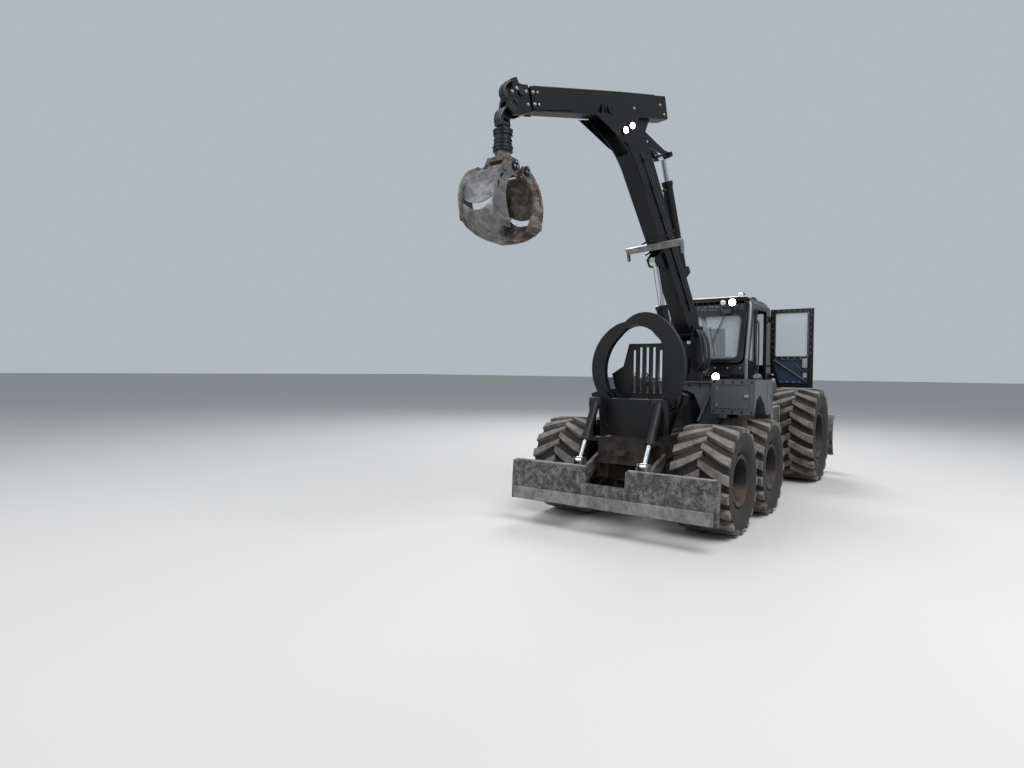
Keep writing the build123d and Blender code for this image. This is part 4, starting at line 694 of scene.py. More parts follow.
# Rear of the crane: slewing ring, hose bundle at the column, valve block
rings = [bolt_ring((CRANE, 0, 1.752), (0, 0, 1), 0.272, 24, 0.8)]
joined("slew_ring_bolts", rings, "black", "chassis")
shape = Build()
shape.turned(
    (CRANE, 0, 1.66),
    (0, 0, 1),
    [(0, 0.292), (0.0, 0.305), (0.06, 0.305), (0.06, 0.285), (0.0885, 0.285)],
    64,
)
settled(shape, "slew_ring", "black", "chassis", smooth=True)
runs = []
for n in range(5):
    w = -0.23 - 0.012 * (n % 2)
    runs.append(
        CRANE_SIDE.path(
            (-0.14 + 0.05 * n, 1.99, -0.12),
            (-0.17 + 0.05 * n, 2.12, w - 0.03),
            (-0.16 + 0.05 * n, 2.35, w - 0.045),
            (-0.12 + 0.045 * n, 2.55, w - 0.02),
            (-0.10 + 0.04 * n, 2.66, -0.19),
        )
    )
pipes("column_hoses", runs, 0.014, "hose", "crane_column")
runs = []
for n in range(4):
    w = 0.055 - 0.036 * n
    runs.append(MAIN.path((0.30 + 0.01 * n, 0.168, w), (0.62, 0.176, w), (0.80, 0.178, w)))
pipes("boom_foot_pipes", runs, 0.010, "steel", "main_boom")

# Main boom: side pipes, clamps, knuckle boss plates, crossbar clamps
runs = []
for n in range(3):
    runs.append(
        MAIN.path(
            (0.35, 0.075 - 0.034 * n, -0.1435),
            (1.2, 0.078 - 0.034 * n, -0.1435),
            (2.45, 0.050 - 0.034 * n, -0.1435),
            (2.80, 0.020 - 0.034 * n, -0.1435),
        )
    )
pipes("boom_side_pipes", runs, 0.0105, "trim", "main_boom")
shape = Build()
for s in (0.5, 0.95, 1.4, 1.85, 2.3, 2.7):
    low = -0.015 if s < 2.4 else -0.05
    shape.plate(MAIN, oblong(s - 0.02, low, s + 0.02, low + 0.115), -0.160, -0.1302)
settled(shape, "boom_pipe_clamps", "black", "main_boom", 0.002)
shape = Build()
head_plate = [
    (2.30, -0.19),
    (2.62, -0.20),
    (3.0, -0.25),
    (3.32, -0.40),
    (3.40, -0.20),
    (3.1, 0.06),
    (2.7, 0.10),
    (2.42, 0.02),
]
for hand in (-1, 1):
    shape.plate(MAIN, head_plate, *sorted((hand * 0.1302, hand * 0.137)))
settled(shape, "boom_head_plates", "boom", "main_boom", 0.003)
shape = Build()
for x in (1.40, 1.57):
    for low, high in ((-0.150, -0.1305), (0.1305, 0.150)):
        shape.plate(MAIN, oblong(x, -0.262, x + 0.03, 0.185), low, high)
settled(shape, "crossbar_straps", "boom", "main_boom", 0.003)

# Foot of the boom: pin caps on the column's cheeks
shape = Build()
for hand in (-1, 1):
    start = 0.166 if hand > 0 else -0.190
    shape.turned(CRANE_SIDE.at(*FOOT, start), ACROSS, [(0, 0.085), (0.024, 0.085)], 40)
settled(shape, "foot_pin_caps", "black", "crane_column", 0.003)
data = [bolt_ring(CRANE_SIDE.at(*FOOT, hand * 0.190), ACROSS * hand, 0.055, 6, 0.7) for hand in (-1, 1)]
joined("foot_pin_bolts", data, "black", "crane_column")
shape = Build()
shape.plate(CRANE_SIDE, oblong(-0.27, 1.99, -0.16, 2.30), -0.11, 0.11)
settled(shape, "valve_block", "steel", "crane_column", 0.004)
data = []
for k in range(4):
    data += bolts([CRANE_SIDE.at(-0.2705, 2.03 + 0.07 * k, w) for w in (-0.07, 0, 0.07)], -OUT, 1.1)
joined("valve_caps", data, "black", "crane_column")

# Cylinder gland with hose ports and a hose


def gland(name, plane, base, eye, length, bore, body, w=0.0):
    """A bolted gland ring and a hose port on a cylinder's barrel."""
    start, end = Vector(plane.at(*base, w)), Vector(plane.at(*eye, w))
    along = (end - start).normalized()
    ring = Build()
    ring.turned(start + along * (length - 0.09), along, [(0, bore + 0.004), (0.03, bore + 0.004)], 36)
    across = plane.across
    up = along.cross(across)
    for d in (0.14, length - 0.12):
        root = start + along * d + up * bore * 0.8
        ring.turned(
            root,
            up,
            [
                (0, 0.026),
                (bore * 0.2 + 0.03, 0.026),
                (bore * 0.2 + 0.045, 0.018),
                (bore * 0.2 + 0.06, 0.018),
            ],
            12,
        )
    ring.tube(
        bend(
            [
                start + along * 0.14 + up * (bore + 0.03),
                start + along * 0.22 + up * (bore + 0.055),
                start + along * (length * 0.5) + up * (bore + 0.03),
                start + along * (length - 0.2) + up * (bore + 0.055),
                start + along * (length - 0.12) + up * (bore + 0.03),
            ]
        ),
        0.009,
        8,
    )
    return settled(ring, name, "black", body, smooth=True)


gland("fold_gland", MAIN, (0.9, 0.27), (2.6, 0.61), 1.37, 0.070, "fold_barrel")

# Outer boom: side gussets, rear cap, end plates with a bolt row near the extension, hose run on top
LOW, HIGH = 0.09 - 0.1625, 0.09 + 0.1625
shape = Build()
gusset = [
    (0.34, -0.055),
    (0.22, -0.052),
    (-0.12, -0.045),
    (-0.60, -0.055),
    (-0.52, -0.15),
    (-0.34, -0.42),
    (-0.27, -0.46),
    (-0.19, -0.42),
    (0.10, -0.22),
]
for hand in (-1, 1):
    edges = sorted((hand * 0.1435, hand * 0.154))
    shape.plate(OUTER, gusset, *edges)
    shape.turned(
        OUTER.at(0, 0, sorted((hand * 0.154, hand * 0.166))[0]), ACROSS, [(0, 0.07), (0.012, 0.07)], 40
    )
settled(shape, "outer_side_gussets", "boom", "outer_boom", 0.003)
shape = Build()
shape.plate(OUTER, oblong(-1.305, LOW + 0.004, -1.300, HIGH - 0.004), -0.090, 0.090)
end_plate = [(1.25, LOW + 0.012), (1.372, LOW + 0.014), (1.372, HIGH - 0.016), (1.25, HIGH - 0.014)]
for low, high in ((-0.104, -0.0942), (0.0942, 0.104)):
    shape.plate(OUTER, end_plate, low, high)
settled(shape, "outer_end_plates", "boom", "outer_boom", 0.002)
data = []
for hand in (-1, 1):
    spots = [OUTER.at(u, v, hand * 0.104) for u in (1.28, 1.345) for v in (0.02, 0.16)]
    data += bolts(spots, ACROSS * hand, 1.1)
    data += bolts(
        [OUTER.at(u, v, hand * 0.0942) for u, v in ((-1.15, 0.12), (-1.22, -0.01), (-0.55, 0.05))],
        ACROSS * hand,
    )
joined("outer_bolts", data, "steel", "outer_boom")
runs = []
for n in range(4):
    w = -0.055 + 0.036 * n
    runs.append(
        OUTER.path(
            (-1.1, HIGH + 0.012, w), (-0.3, HIGH + 0.014, w), (0.6, HIGH + 0.004, w), (1.28, HIGH - 0.004, w)
        )
    )
pipes("outer_top_hoses", runs, 0.011, "hose", "outer_boom")

# Nose of the extension: pin caps, bolts and hose bundles
shape = Build()
nose_x, nose_y = 1.700, -0.025
for hand in (-1, 1):
    start = 0.087 if hand > 0 else -0.110
    shape.turned(OUTER.at(nose_x, nose_y, start), ACROSS, [(0, 0.062), (0.023, 0.062)], 32)
    shape.turned(OUTER.at(1.52, 0.16, start), ACROSS, [(0, 0.045), (0.023, 0.045)], 24)
    shape.turned(OUTER.at(1.62, 0.05, start), ACROSS, [(0, 0.035), (0.023, 0.035)], 24)
settled(shape, "nose_pin_caps", "black", "boom_extension", 0.003)
data = []
for hand in (-1, 1):
    data += bolts(
        [OUTER.at(u, v, hand * 0.087) for u, v in ((1.44, 0.02), (1.44, 0.17), (1.58, 0.20), (1.66, 0.16))],
        ACROSS * hand,
    )
joined("nose_bolts", data, "steel", "boom_extension")
runs = []
for n in range(4):
    w = -0.06 + 0.04 * n
    spots = ((1.44, 0.245), (1.54, 0.275), (1.64, 0.285), (1.715, 0.235), (1.745, 0.15), (1.70, 0.07))
    runs.append([OUTER.at(u, v, w * (1 - 0.08 * k)) for k, (u, v) in enumerate(spots)])
pipes("nose_hoses", runs, 0.012, "hose", "boom_extension")

# Swing link and rotator: the link's foot hangs a little outward of the nose
NOSE = OUTER.at(nose_x, nose_y)
NOSE_Z = NOSE.z
HANG = NOSE + OUT * 0.062
runs = []
for n in range(4):
    w = -0.052 + 0.035 * n
    runs.append(
        [
            NOSE + OUT * 0.045 + UP * 0.020 + ACROSS * w * 0.7,
            NOSE + OUT * (0.105 + 0.006 * n) - UP * 0.045 + ACROSS * w,
            HANG + OUT * 0.085 - UP * 0.130 + ACROSS * w,
            HANG + OUT * 0.075 - UP * 0.215 + ACROSS * w * 0.9,
        ]
    )
pipes("link_hoses", runs, 0.0125, "hose", "swing_link")
shape = Build()
rz = NOSE_Z - 0.25
centre = Vector((HANG.x, HANG.y, 0))
for z, r, h in (
    (rz - 0.035, 0.121, 0.02),
    (rz - 0.135, 0.112, 0.012),
    (rz - 0.175, 0.112, 0.012),
    (rz - 0.225, 0.125, 0.02),
):
    shape.turned(centre + UP * z, UP, [(0, r), (h, r)], 48)
settled(shape, "rotator_bands", "black", "rotator", 0.002)
data = [
    bolt_ring(centre + UP * (rz - 0.0145), UP, 0.108, 10, 0.75),
    bolt_ring(centre + UP * (rz - 0.2255), -UP, 0.112, 10, 0.75),
]
joined("rotator_bolts", data, "black", "rotator")

# Grapple: pin caps and bolts on both shells
GRIP_TURN = math.radians(15 - 18)
GRIP = Plane(
    centre,
    Vector((-math.cos(GRIP_TURN), math.sin(GRIP_TURN), 0)),
    UP,
    Vector((math.sin(GRIP_TURN), math.cos(GRIP_TURN), 0)),
)
ROTATOR_LOW = NOSE_Z - 0.19 - 0.06 - 0.26
SHELL_AT = (0.130, ROTATOR_LOW - 0.230)
SHELL_HALF = 0.250
for end, body in ((1, "grapple_shell_outer"), (-1, "grapple_shell_inner")):
    caps = Build()
    for hand in (-1, 1):
        start = SHELL_HALF if hand > 0 else -SHELL_HALF - 0.022
        caps.turned(
            GRIP.at(end * SHELL_AT[0], SHELL_AT[1], start), GRIP.across, [(0, 0.058), (0.022, 0.058)], 32
        )
    settled(caps, body + "_caps", "black", body, 0.003)
    spots = []
    for hand in (-1, 1):
        for k in range(3):
            a = math.radians(90 + 120 * k)
            spots.append(
                GRIP.at(
                    end * SHELL_AT[0] + 0.034 * math.cos(a),
                    SHELL_AT[1] + 0.034 * math.sin(a),
                    hand * (SHELL_HALF + 0.022),
                )
            )
    found = []
    for n, spot in enumerate(spots):
        found += bolts([spot], GRIP.across * (-1 if n < 3 else 1), 0.7)
    joined(body + "_bolts", found, "steel", body)

# Grapple backs: an apron that bows down into the window, and a lip that rises to its corners
SHELL_TIP = 3.5
SHELL_MIDDLE = (SHELL_TIP + SHELL_AT[1] + 0.06) / 2


def shell_back(share, inset):
    """A point on the shell's back in the window, from the back plate down to the lip."""
    out = 0.478 + 0.014 * share + 0.06 * share * (1 - share) - inset
    return out, SHELL_MIDDLE + 0.01 + (SHELL_TIP + 0.28 - SHELL_MIDDLE) * share


for end, body, paint in ((1, "grapple_shell_outer", "shell"), (-1, "grapple_shell_inner", "brown")):
    apron = Build()
    for upper in (True, False):
        rings = []
        for k in range(17):
            side = abs(k / 8 - 1)
            start, stop = (-0.03, 0.06 + 0.46 * (1 - side**2)) if upper else (0.95 - 0.66 * side**2, 1.03)
            shares = [start + (stop - start) * n / 4 for n in range(5)]
            ring = [shell_back(s, 0.001) for s in shares] + [shell_back(s, 0.019) for s in shares[::-1]]
            rings.append([GRIP.at(end * u, v, (SHELL_HALF - 0.03) * (k / 8 - 1)) for u, v in ring])
        apron.loft(rings)
    settled(apron, body + "_apron", paint, body, smooth=True)

# Cab: planes of its faces, and frames with rounded corners


def rounded(x0, y0, x1, y1, radius, turns=5):
    """A rectangle with rounded corners, as points."""
    points = []
    for cx, cy, start in (
        (x1 - radius, y1 - radius, 0),
        (x0 + radius, y1 - radius, 90),
        (x0 + radius, y0 + radius, 180),
        (x1 - radius, y0 + radius, 270),
    ):
        for k in range(turns + 1):
            a = math.radians(start + 90 * k / turns)
            points.append((cx + radius * math.cos(a), cy + radius * math.sin(a)))
    return points


def surround(shape, plane, outer, inner, low, high):
    """A flat frame between two rounded rectangles, from one height to another."""
    rings = []
    for sizes, w in ((outer, low), (outer, high), (inner, high), (inner, low), (outer, low)):
        rings.append([plane.at(x, y, w) for x, y in rounded(*sizes)])
    shape.loft(rings, caps=False)


SLOPE = Vector((0.31, 0, 1.06)).normalized()
REAR_FACE = Plane(Vector((BOGIE + 1.64, 0, 2.18)), Vector((0, -1, 0)), SLOPE, Vector((-SLOPE.z, 0, SLOPE.x)))
RIGHT_FACE = side_face(-1, 0.70)
DOOR_BACK = BOGIE + 2.895 - 0.0225
DOOR_FACE = rear_face(DOOR_BACK)

shape = Build()
surround(
    shape, REAR_FACE, (-0.64, -0.02, 0.64, 0.90, 0.10), (-0.555, 0.045, 0.555, 0.80, 0.09), 0.0015, 0.012
)
settled(shape, "rear_window_surround", "cab", "front_chassis", 0.003)
shape = Build()
surround(
    shape, REAR_FACE, (-0.565, 0.035, 0.565, 0.81, 0.095), (-0.545, 0.055, 0.545, 0.79, 0.085), 0.004, 0.019
)
settled(shape, "rear_window_seal", "trim", "front_chassis", smooth=True)
shape = Build()
shape.tube(REAR_FACE.path((0.30, 0.86, 0.035), (0.12, 0.30, 0.04)), 0.009, 8)
shape.tube(REAR_FACE.path((0.33, 0.86, 0.035), (0.15, 0.30, 0.04)), 0.006, 8)
shape.tube(REAR_FACE.path((0.06, 0.60, 0.028), (0.19, 0.08, 0.028)), 0.010, 8)
shape.plate(REAR_FACE, rounded(0.25, 0.82, 0.38, 0.90, 0.02), 0.0125, 0.05)
settled(shape, "rear_wiper", "trim", "front_chassis", smooth=True)

# Rounded pillars at the cab's rear corners and along the roof; the pillars are a lighter grey that is a
# painted highlight
shape = Build()
for hand in (-1, 1):
    shape.tube(
        bend(
            [
                (BOGIE + 1.655, hand * 0.690, 1.50),
                (BOGIE + 1.655, hand * 0.690, 2.14),
                (BOGIE + 1.70, hand * 0.688, 2.34),
                (BOGIE + 1.90, hand * 0.675, 3.02),
                (BOGIE + 1.955, hand * 0.648, 3.17),
            ],
            8,
        ),
        0.027,
        16,
    )
settled(shape, "rear_pillars", "pillar", "front_chassis", smooth=True)
shape = Build()
shape.loft(
    [
        [
            (BOGIE + x, y, z)
            for x, y in (
                (1.93 + i, -0.60 + i), (3.10 - i, -0.60 + i), (3.10 - i, 0.60 - i), (1.93 + i, 0.60 - i)
            )
        ]
        for z, i in ((3.2415, 0.0), (3.258, 0.0), (3.272, 0.03))
    ]
)
settled(shape, "roof_cap", "cab", "front_chassis", 0.004)
shape = Build()
for hand in (-1, 1):
    shape.tube([(BOGIE + 1.98, hand * 0.628, 3.205), (BOGIE + 3.06, hand * 0.628, 3.205)], 0.022, 12)
shape.tube([(BOGIE + 1.935, -0.60, 3.222), (BOGIE + 1.935, 0.60, 3.222)], 0.020, 12)
settled(shape, "roof_edges", "cab", "front_chassis", smooth=True)


def lamp(name, at, facing, radius, depth, body, lit=True):
    """A round work lamp: housing, rim and a lens that may be lit."""
    facing = Vector(facing).normalized()
    housing = Build()
    housing.turned(
        at, facing, [(-depth, radius * 0.45), (-depth * 0.7, radius * 0.8), (0, radius), (0.006, radius)], 28
    )
    back = Vector(at) - facing * depth * 0.5
    housing.tube([back, back - UP * (radius + 0.03)], 0.012, 10)
    settled(housing, name + "_housing", "trim", body, smooth=True)
    face = Build()
    face.turned(at, facing, [(0.0065, radius * 0.9), (0.010, radius * 0.8), (0.013, radius * 0.3)], 28)
    material = "lamp_on" if lit else "lens"
    settled(face, name + "_lens", material, body, smooth=True)


lamp("roof_lamp_right", (BOGIE + 1.845, -0.40, 3.165), (-1, -0.1, -0.15), 0.062, 0.07, "front_chassis")
lamp(
    "roof_lamp_right_inner",
    (BOGIE + 1.845, -0.25, 3.165),
    (-1, 0, -0.15),
    0.050,
    0.06,
    "front_chassis",
    False,
)
lamp("roof_lamp_left", (BOGIE + 1.845, 0.40, 3.165), (-1, 0.1, -0.15), 0.062, 0.07, "front_chassis", False)
shape = Build()
shape.tube([(BOGIE + 1.87, -0.52, 3.085), (BOGIE + 1.87, 0.52, 3.085)], 0.012, 10)
for y in (-0.50, 0.50):
    shape.tube([(BOGIE + 1.87, y, 3.085), (BOGIE + 1.93, y, 3.12)], 0.012, 10)
settled(shape, "roof_lamp_bar", "trim", "front_chassis", smooth=True)
lamp("roof_lamp_front_right", (BOGIE + 3.035, -0.43, 3.306), (1, 0, 0), 0.054, 0.02, "front_chassis", False)
lamp("roof_lamp_front_left", (BOGIE + 3.035, 0.43, 3.306), (1, 0, 0), 0.054, 0.02, "front_chassis", False)
for hand in (-1, 1):
    lens = Build()
    lens.turned(
        (BOGIE + 2.048, hand * 0.47, 3.306), (-1, 0, 0), [(0.0, 0.050), (0.006, 0.046), (0.010, 0.02)], 28
    )
    settled(lens, f"rear_top_lens_{'left' if hand > 0 else 'right'}", "lens", "front_chassis", smooth=True)

# Inside the cab: seat cushions, arm rest, levers and steering wheel
shape = Build()
shape.plate(MIDDLE, rounded(BOGIE + 2.03, 1.925, BOGIE + 2.52, 2.02, 0.045), -0.24, 0.24)
settled(shape, "seat_cushion", "seat", "front_chassis", 0.02)
shape = Build()
back = Plane(
    Vector((BOGIE + 2.055, 0, 2.0)),
    Vector((0, -1, 0)),
    Vector((-0.056, 0, 1)).normalized(),
    Vector((1, 0, 0)),
)
shape.plate(back, rounded(-0.23, 0.02, 0.23, 0.74, 0.08), -0.02, 0.06)
settled(shape, "seat_back", "seat", "front_chassis", 0.02)
shape = Build()
for hand in (-1, 1):
    shape.plate(
        Plane(Vector((0, hand * 0.36, 0)), Vector((1, 0, 0)), UP, Vector((0, -1, 0))),
        rounded(BOGIE + 2.14, 2.20, BOGIE + 2.54, 2.27, 0.03),
        -0.05,
        0.05,
    )
settled(shape, "arm_rests", "red", "front_chassis", 0.012)
shape = Build()
for hand in (-1, 1):
    shape.tube([(BOGIE + 2.24, hand * 0.36, 2.20), (BOGIE + 2.20, hand * 0.34, 1.92)], 0.022, 10)
    shape.tube([(BOGIE + 2.50, hand * 0.36, 2.265), (BOGIE + 2.53, hand * 0.36, 2.40)], [0.012, 0.024], 12)
    shape.turned((BOGIE + 2.53, hand * 0.36, 2.39), UP, [(0, 0.024), (0.03, 0.028), (0.055, 0.018)], 16)
settled(shape, "arm_levers", "trim", "front_chassis", smooth=True)
shape = Build()
shape.plate(RIGHT_FACE, rounded(2.46, 2.06, 2.50, 2.36, 0.015), -0.12, -0.09)
settled(shape, "belt_buckle", "red", "front_chassis", 0.005)
shape = Build()
shape.turned(
    (BOGIE + 2.86, 0, 2.20),
    (-0.5, 0, 1),
    [(0, 0.19), (0.012, 0.20), (0.026, 0.19), (0.03, 0.165), (0.0, 0.165)],
    40,
)
shape.tube([(BOGIE + 2.95, 0, 2.02), (BOGIE + 2.85, 0, 2.21)], 0.025, 12)
settled(shape, "steering_wheel", "trim", "front_chassis", smooth=True)

# Doorway: seal, grab rails, sill rod, bolt rows and louvres
# Thin enough to lie between the closed door and the cab's side, save for the bolts
SEAL_THICK = 0.0015
DOOR_TRIM = 0.0022
BOLT_SUNK = 0.0033
shape = Build()
surround(
    shape,
    RIGHT_FACE,
    (2.205, 1.785, 2.865, 3.095, 0.06),
    (2.235, 1.815, 2.835, 3.065, 0.05),
    0.0003,
    SEAL_THICK,
)
settled(shape, "doorway_seal", "trim", "front_chassis", smooth=True)
shape = Build()
shape.tube(
    bend(RIGHT_FACE.path((2.13, 2.02, 0.0), (2.13, 2.05, 0.05), (2.13, 2.80, 0.05), (2.13, 2.83, 0.0))),
    0.013,
    10,
)
for hand in (-1, 1):
    side = side_face(hand, 0.70)
    shape.tube(
        bend(side.path((2.95, 1.60, 0.0), (2.95, 1.62, 0.06), (2.95, 2.10, 0.06), (2.95, 2.12, 0.0))),
        0.013,
        10,
    )
settled(shape, "grab_rails", "trim", "front_chassis", smooth=True)
shape = Build()
shape.tube([(BOGIE + 2.52, -0.66, 1.84), (BOGIE + 2.75, -0.665, 1.90)], 0.014, 12)
settled(shape, "sill_rod", "chrome", "front_chassis", smooth=True)
data = [bolt_row(RIGHT_FACE.at(1.80, 1.55, 0.0002), RIGHT_FACE.at(3.12, 1.55, 0.0002), 9, (0, -1, 0), 0.8)]
data.append(bolt_row((BOGIE + 1.80, 0.7002, 1.55), (BOGIE + 3.12, 0.7002, 1.55), 9, (0, 1, 0), 0.8))
joined("cab_side_bolts", data, "steel", "front_chassis")
data = [
    bolt_row((BOGIE + 1.6398, -0.60, z), (BOGIE + 1.6398, 0.60, z), 7, (-1, 0, 0), 0.8) for z in (1.55, 2.08)
]
joined("cab_rear_bolts", data, "steel", "front_chassis")
shape = Build()
for z in (1.62, 1.70, 1.78, 1.86, 1.94):
    shape.block((BOGIE + 1.622, -0.42, z), (BOGIE + 1.6395, 0.42, z + 0.030))
settled(shape, "cab_rear_louvres", "trim", "front_chassis", 0.003)

# Open door, seen from its inner face
shape = Build()
surround(
    shape,
    DOOR_FACE,
    (0.775, 1.99, 1.432, 3.095, 0.03),
    (0.835, 2.285, 1.378, 3.055, 0.03),
    0.0005,
    DOOR_TRIM,
)
settled(shape, "door_inner_frame", "cab", "door", 0.003)
shape = Build()
surround(
    shape,
    DOOR_FACE,
    (0.830, 2.280, 1.370, 3.048, 0.035),
    (0.848, 2.298, 1.356, 3.034, 0.03),
    DOOR_TRIM,
    0.012,
)
settled(shape, "door_pane_seal", "trim", "door", smooth=True)
shape = Build()
shape.plate(DOOR_FACE, [(0.915, 1.835), (1.366, 1.835), (1.368, 2.25), (0.805, 2.25)], 0.0005, 0.014)
settled(shape, "door_lower_panel", "navy", "door", 0.002)
shape = Build()
shape.tube(DOOR_FACE.path((0.83, 2.23, 0.028), (1.335, 1.88, 0.028)), 0.015, 10)
shape.tube(DOOR_FACE.path((0.93, 2.235, 0.020), (1.355, 2.235, 0.020)), 0.012, 10)
for y, z in ((0.83, 2.23), (1.335, 1.88)):
    shape.tube(DOOR_FACE.path((y, z, 0.0), (y, z, 0.042)), 0.018, 10)
shape.tube(
    bend(DOOR_FACE.path((1.20, 2.16, 0.0), (1.20, 2.15, 0.05), (1.27, 2.06, 0.05), (1.27, 2.05, 0.0))),
    0.010,
    10,
)
settled(shape, "door_bars", "trim", "door", smooth=True)
shape = Build()
shape.plate(DOOR_FACE, rounded(1.290, 2.10, 1.365, 2.26, 0.015), 0.006, 0.045)
shape.plate(DOOR_FACE, rounded(1.300, 1.93, 1.362, 2.01, 0.012), 0.006, 0.03)
settled(shape, "door_latch", "steel", "door", 0.004)
data = [
    bolt_row(*DOOR_FACE.path((*start, w), (*end, w)), count, (-1, 0, 0), size)
    for start, end, w, count, size in (
        ((0.80, 3.075), (1.41, 3.075), -BOLT_SUNK, 8, 0.45),
        ((1.408, 2.35), (1.408, 3.00), -BOLT_SUNK, 7, 0.45),
        ((0.80, 2.35), (0.80, 3.00), -BOLT_SUNK, 7, 0.45),
        ((0.86, 2.266), (1.355, 2.266), 0.0042, 6, 0.5),
        ((0.95, 1.86), (1.25, 1.86), 0.0142, 4, 0.5),
    )
]
joined("door_bolts", data, "steel", "door")
shape = Build()
for z in (1.93, 2.93):
    shape.tube([(BOGIE + 2.895, -0.725, z - 0.07), (BOGIE + 2.895, -0.725, z + 0.07)], 0.021, 14)
settled(shape, "hinge_pins", "steel", "front_chassis", smooth=True)

# Crane portal: an arched bracket in front of the bunk, over the frame
# Below the step its sides draw in, clear of the middle tyres
PORTAL_HALF, PORTAL_FOOT_HALF, PORTAL_ARCH_HALF = 0.655, 0.622, 0.335
PORTAL_LOW, PORTAL_STEP, PORTAL_TOP = 1.1505, 1.45, 1.85
PORTAL = rear_face(BOGIE + 0.555)
arch = [
    (PORTAL_FOOT_HALF, PORTAL_LOW),
    (PORTAL_FOOT_HALF, 1.42),
    (PORTAL_HALF, PORTAL_STEP),
    (PORTAL_HALF, PORTAL_TOP),
]
arch += [(-y, z) for y, z in arch[::-1]]
arch += [(-0.30, PORTAL_LOW), (-0.345, PORTAL_STEP), (-0.30, 1.62)]
for k in range(7):
    a = math.radians(180 - 30 * k)
    arch.append((0.27 * math.cos(a), 1.62 + 0.125 * math.sin(a)))
arch += [(0.345, PORTAL_STEP), (0.30, PORTAL_LOW)]
shape = Build()
shape.plate(PORTAL, arch, -0.03, 0.0)
settled(shape, "portal_arch", "grey", "chassis", 0.004)
shape = Build()
for hand in (-1, 1):
    low, high = sorted((hand * 0.600, hand * PORTAL_FOOT_HALF))
    shape.block((BOGIE + 0.585, low, PORTAL_LOW), (BOGIE + 0.93, high, PORTAL_STEP))
    low, high = sorted((hand * 0.610, hand * PORTAL_HALF))
    shape.block((BOGIE + 0.585, low, 1.44), (BOGIE + 0.93, high, PORTAL_TOP))
    low, high = sorted((hand * PORTAL_ARCH_HALF, hand * PORTAL_HALF))
    shape.block((BOGIE + 0.525, low, 1.8505), (BOGIE + 0.63, high, 1.868))
shape.block((BOGIE + 0.525, -PORTAL_ARCH_HALF, 1.8505), (BOGIE + 0.60, PORTAL_ARCH_HALF, 1.868))
settled(shape, "portal_sides", "grey", "chassis", 0.004)
# The ribs are in the lighter highlight grey: a painted highlight along the portal's edges
shape = Build()
for hand in (-1, 1):
    leg = [(hand * 0.465, 1.64), (hand * 0.495, 1.66), (hand * 0.345, 1.28), (hand * 0.305, 1.28)]
    shape.plate(PORTAL, leg, 0.0005, 0.045)
settled(shape, "portal_ribs", "pillar", "chassis", 0.003)
data = [
    bolt_row(PORTAL.at(hand * 0.60, 1.22, 0.0005), PORTAL.at(hand * 0.60, 1.80, 0.0005), 6, (-1, 0, 0), 0.9)
    for hand in (-1, 1)
]
data.append(bolt_row(PORTAL.at(-0.50, 1.81, 0.0005), PORTAL.at(0.50, 1.81, 0.0005), 7, (-1, 0, 0), 0.9))
joined("portal_bolts", data, "black", "chassis")
lamp("portal_lamp_right", (BOGIE + 0.56, -0.56, 1.945), (-1, -0.15, -0.05), 0.058, 0.07, "chassis")
lamp("portal_lamp_left", (BOGIE + 0.56, 0.56, 1.945), (-1, 0.15, -0.05), 0.058, 0.07, "chassis", False)

# Fenders: lids with hinges and latches, tread plates on top
shape = Build()
for hand in (-1, 1):
    face = side_face(hand, 1.2)
    surround(shape, face, (0.90, 1.44, 1.21, 1.87, 0.03), (0.925, 1.465, 1.185, 1.845, 0.025), 0.0005, 0.006)
    rear = rear_face(BOGIE + 0.25, hand)
    surround(shape, rear, (0.64, 1.50, 1.16, 1.86, 0.04), (0.665, 1.525, 1.135, 1.835, 0.03), 0.0005, 0.006)
settled(shape, "fender_panels", "grey", "chassis", 0.002)
shape = Build()
for hand in (-1, 1):
    low, high = sorted((hand * 0.62, hand * 1.18))
    shape.block((BOGIE + 0.27, low, 1.9005), (BOGIE + 1.08, high, 1.905))
    for k in range(3):
        y = hand * (0.72 + 0.18 * k)
        shape.block((BOGIE + 0.30, y - 0.01, 1.905), (BOGIE + 1.05, y + 0.01, 1.910))
settled(shape, "fender_tops", "trim", "chassis", 0.001)
shape = Build()
for hand in (-1, 1):
    for z in (1.55, 1.78):
        shape.tube(
            [(BOGIE + 0.243, hand * 0.68, z - 0.03), (BOGIE + 0.243, hand * 0.68, z + 0.03)], 0.008, 8
        )
    low, high = sorted((hand * 1.06, hand * 1.12))
    shape.block((BOGIE + 0.236, low, 1.66), (BOGIE + 0.2495, high, 1.70))
settled(shape, "fender_hardware", "steel", "chassis", 0.002)
data = []
for hand in (-1, 1):
    for z in (1.46, 1.87):
        data.append(
            bolt_row((BOGIE + 0.2495, hand * 0.64, z), (BOGIE + 0.2495, hand * 1.16, z), 5, (-1, 0, 0), 0.7)
        )
joined("fender_bolts", data, "black", "chassis")

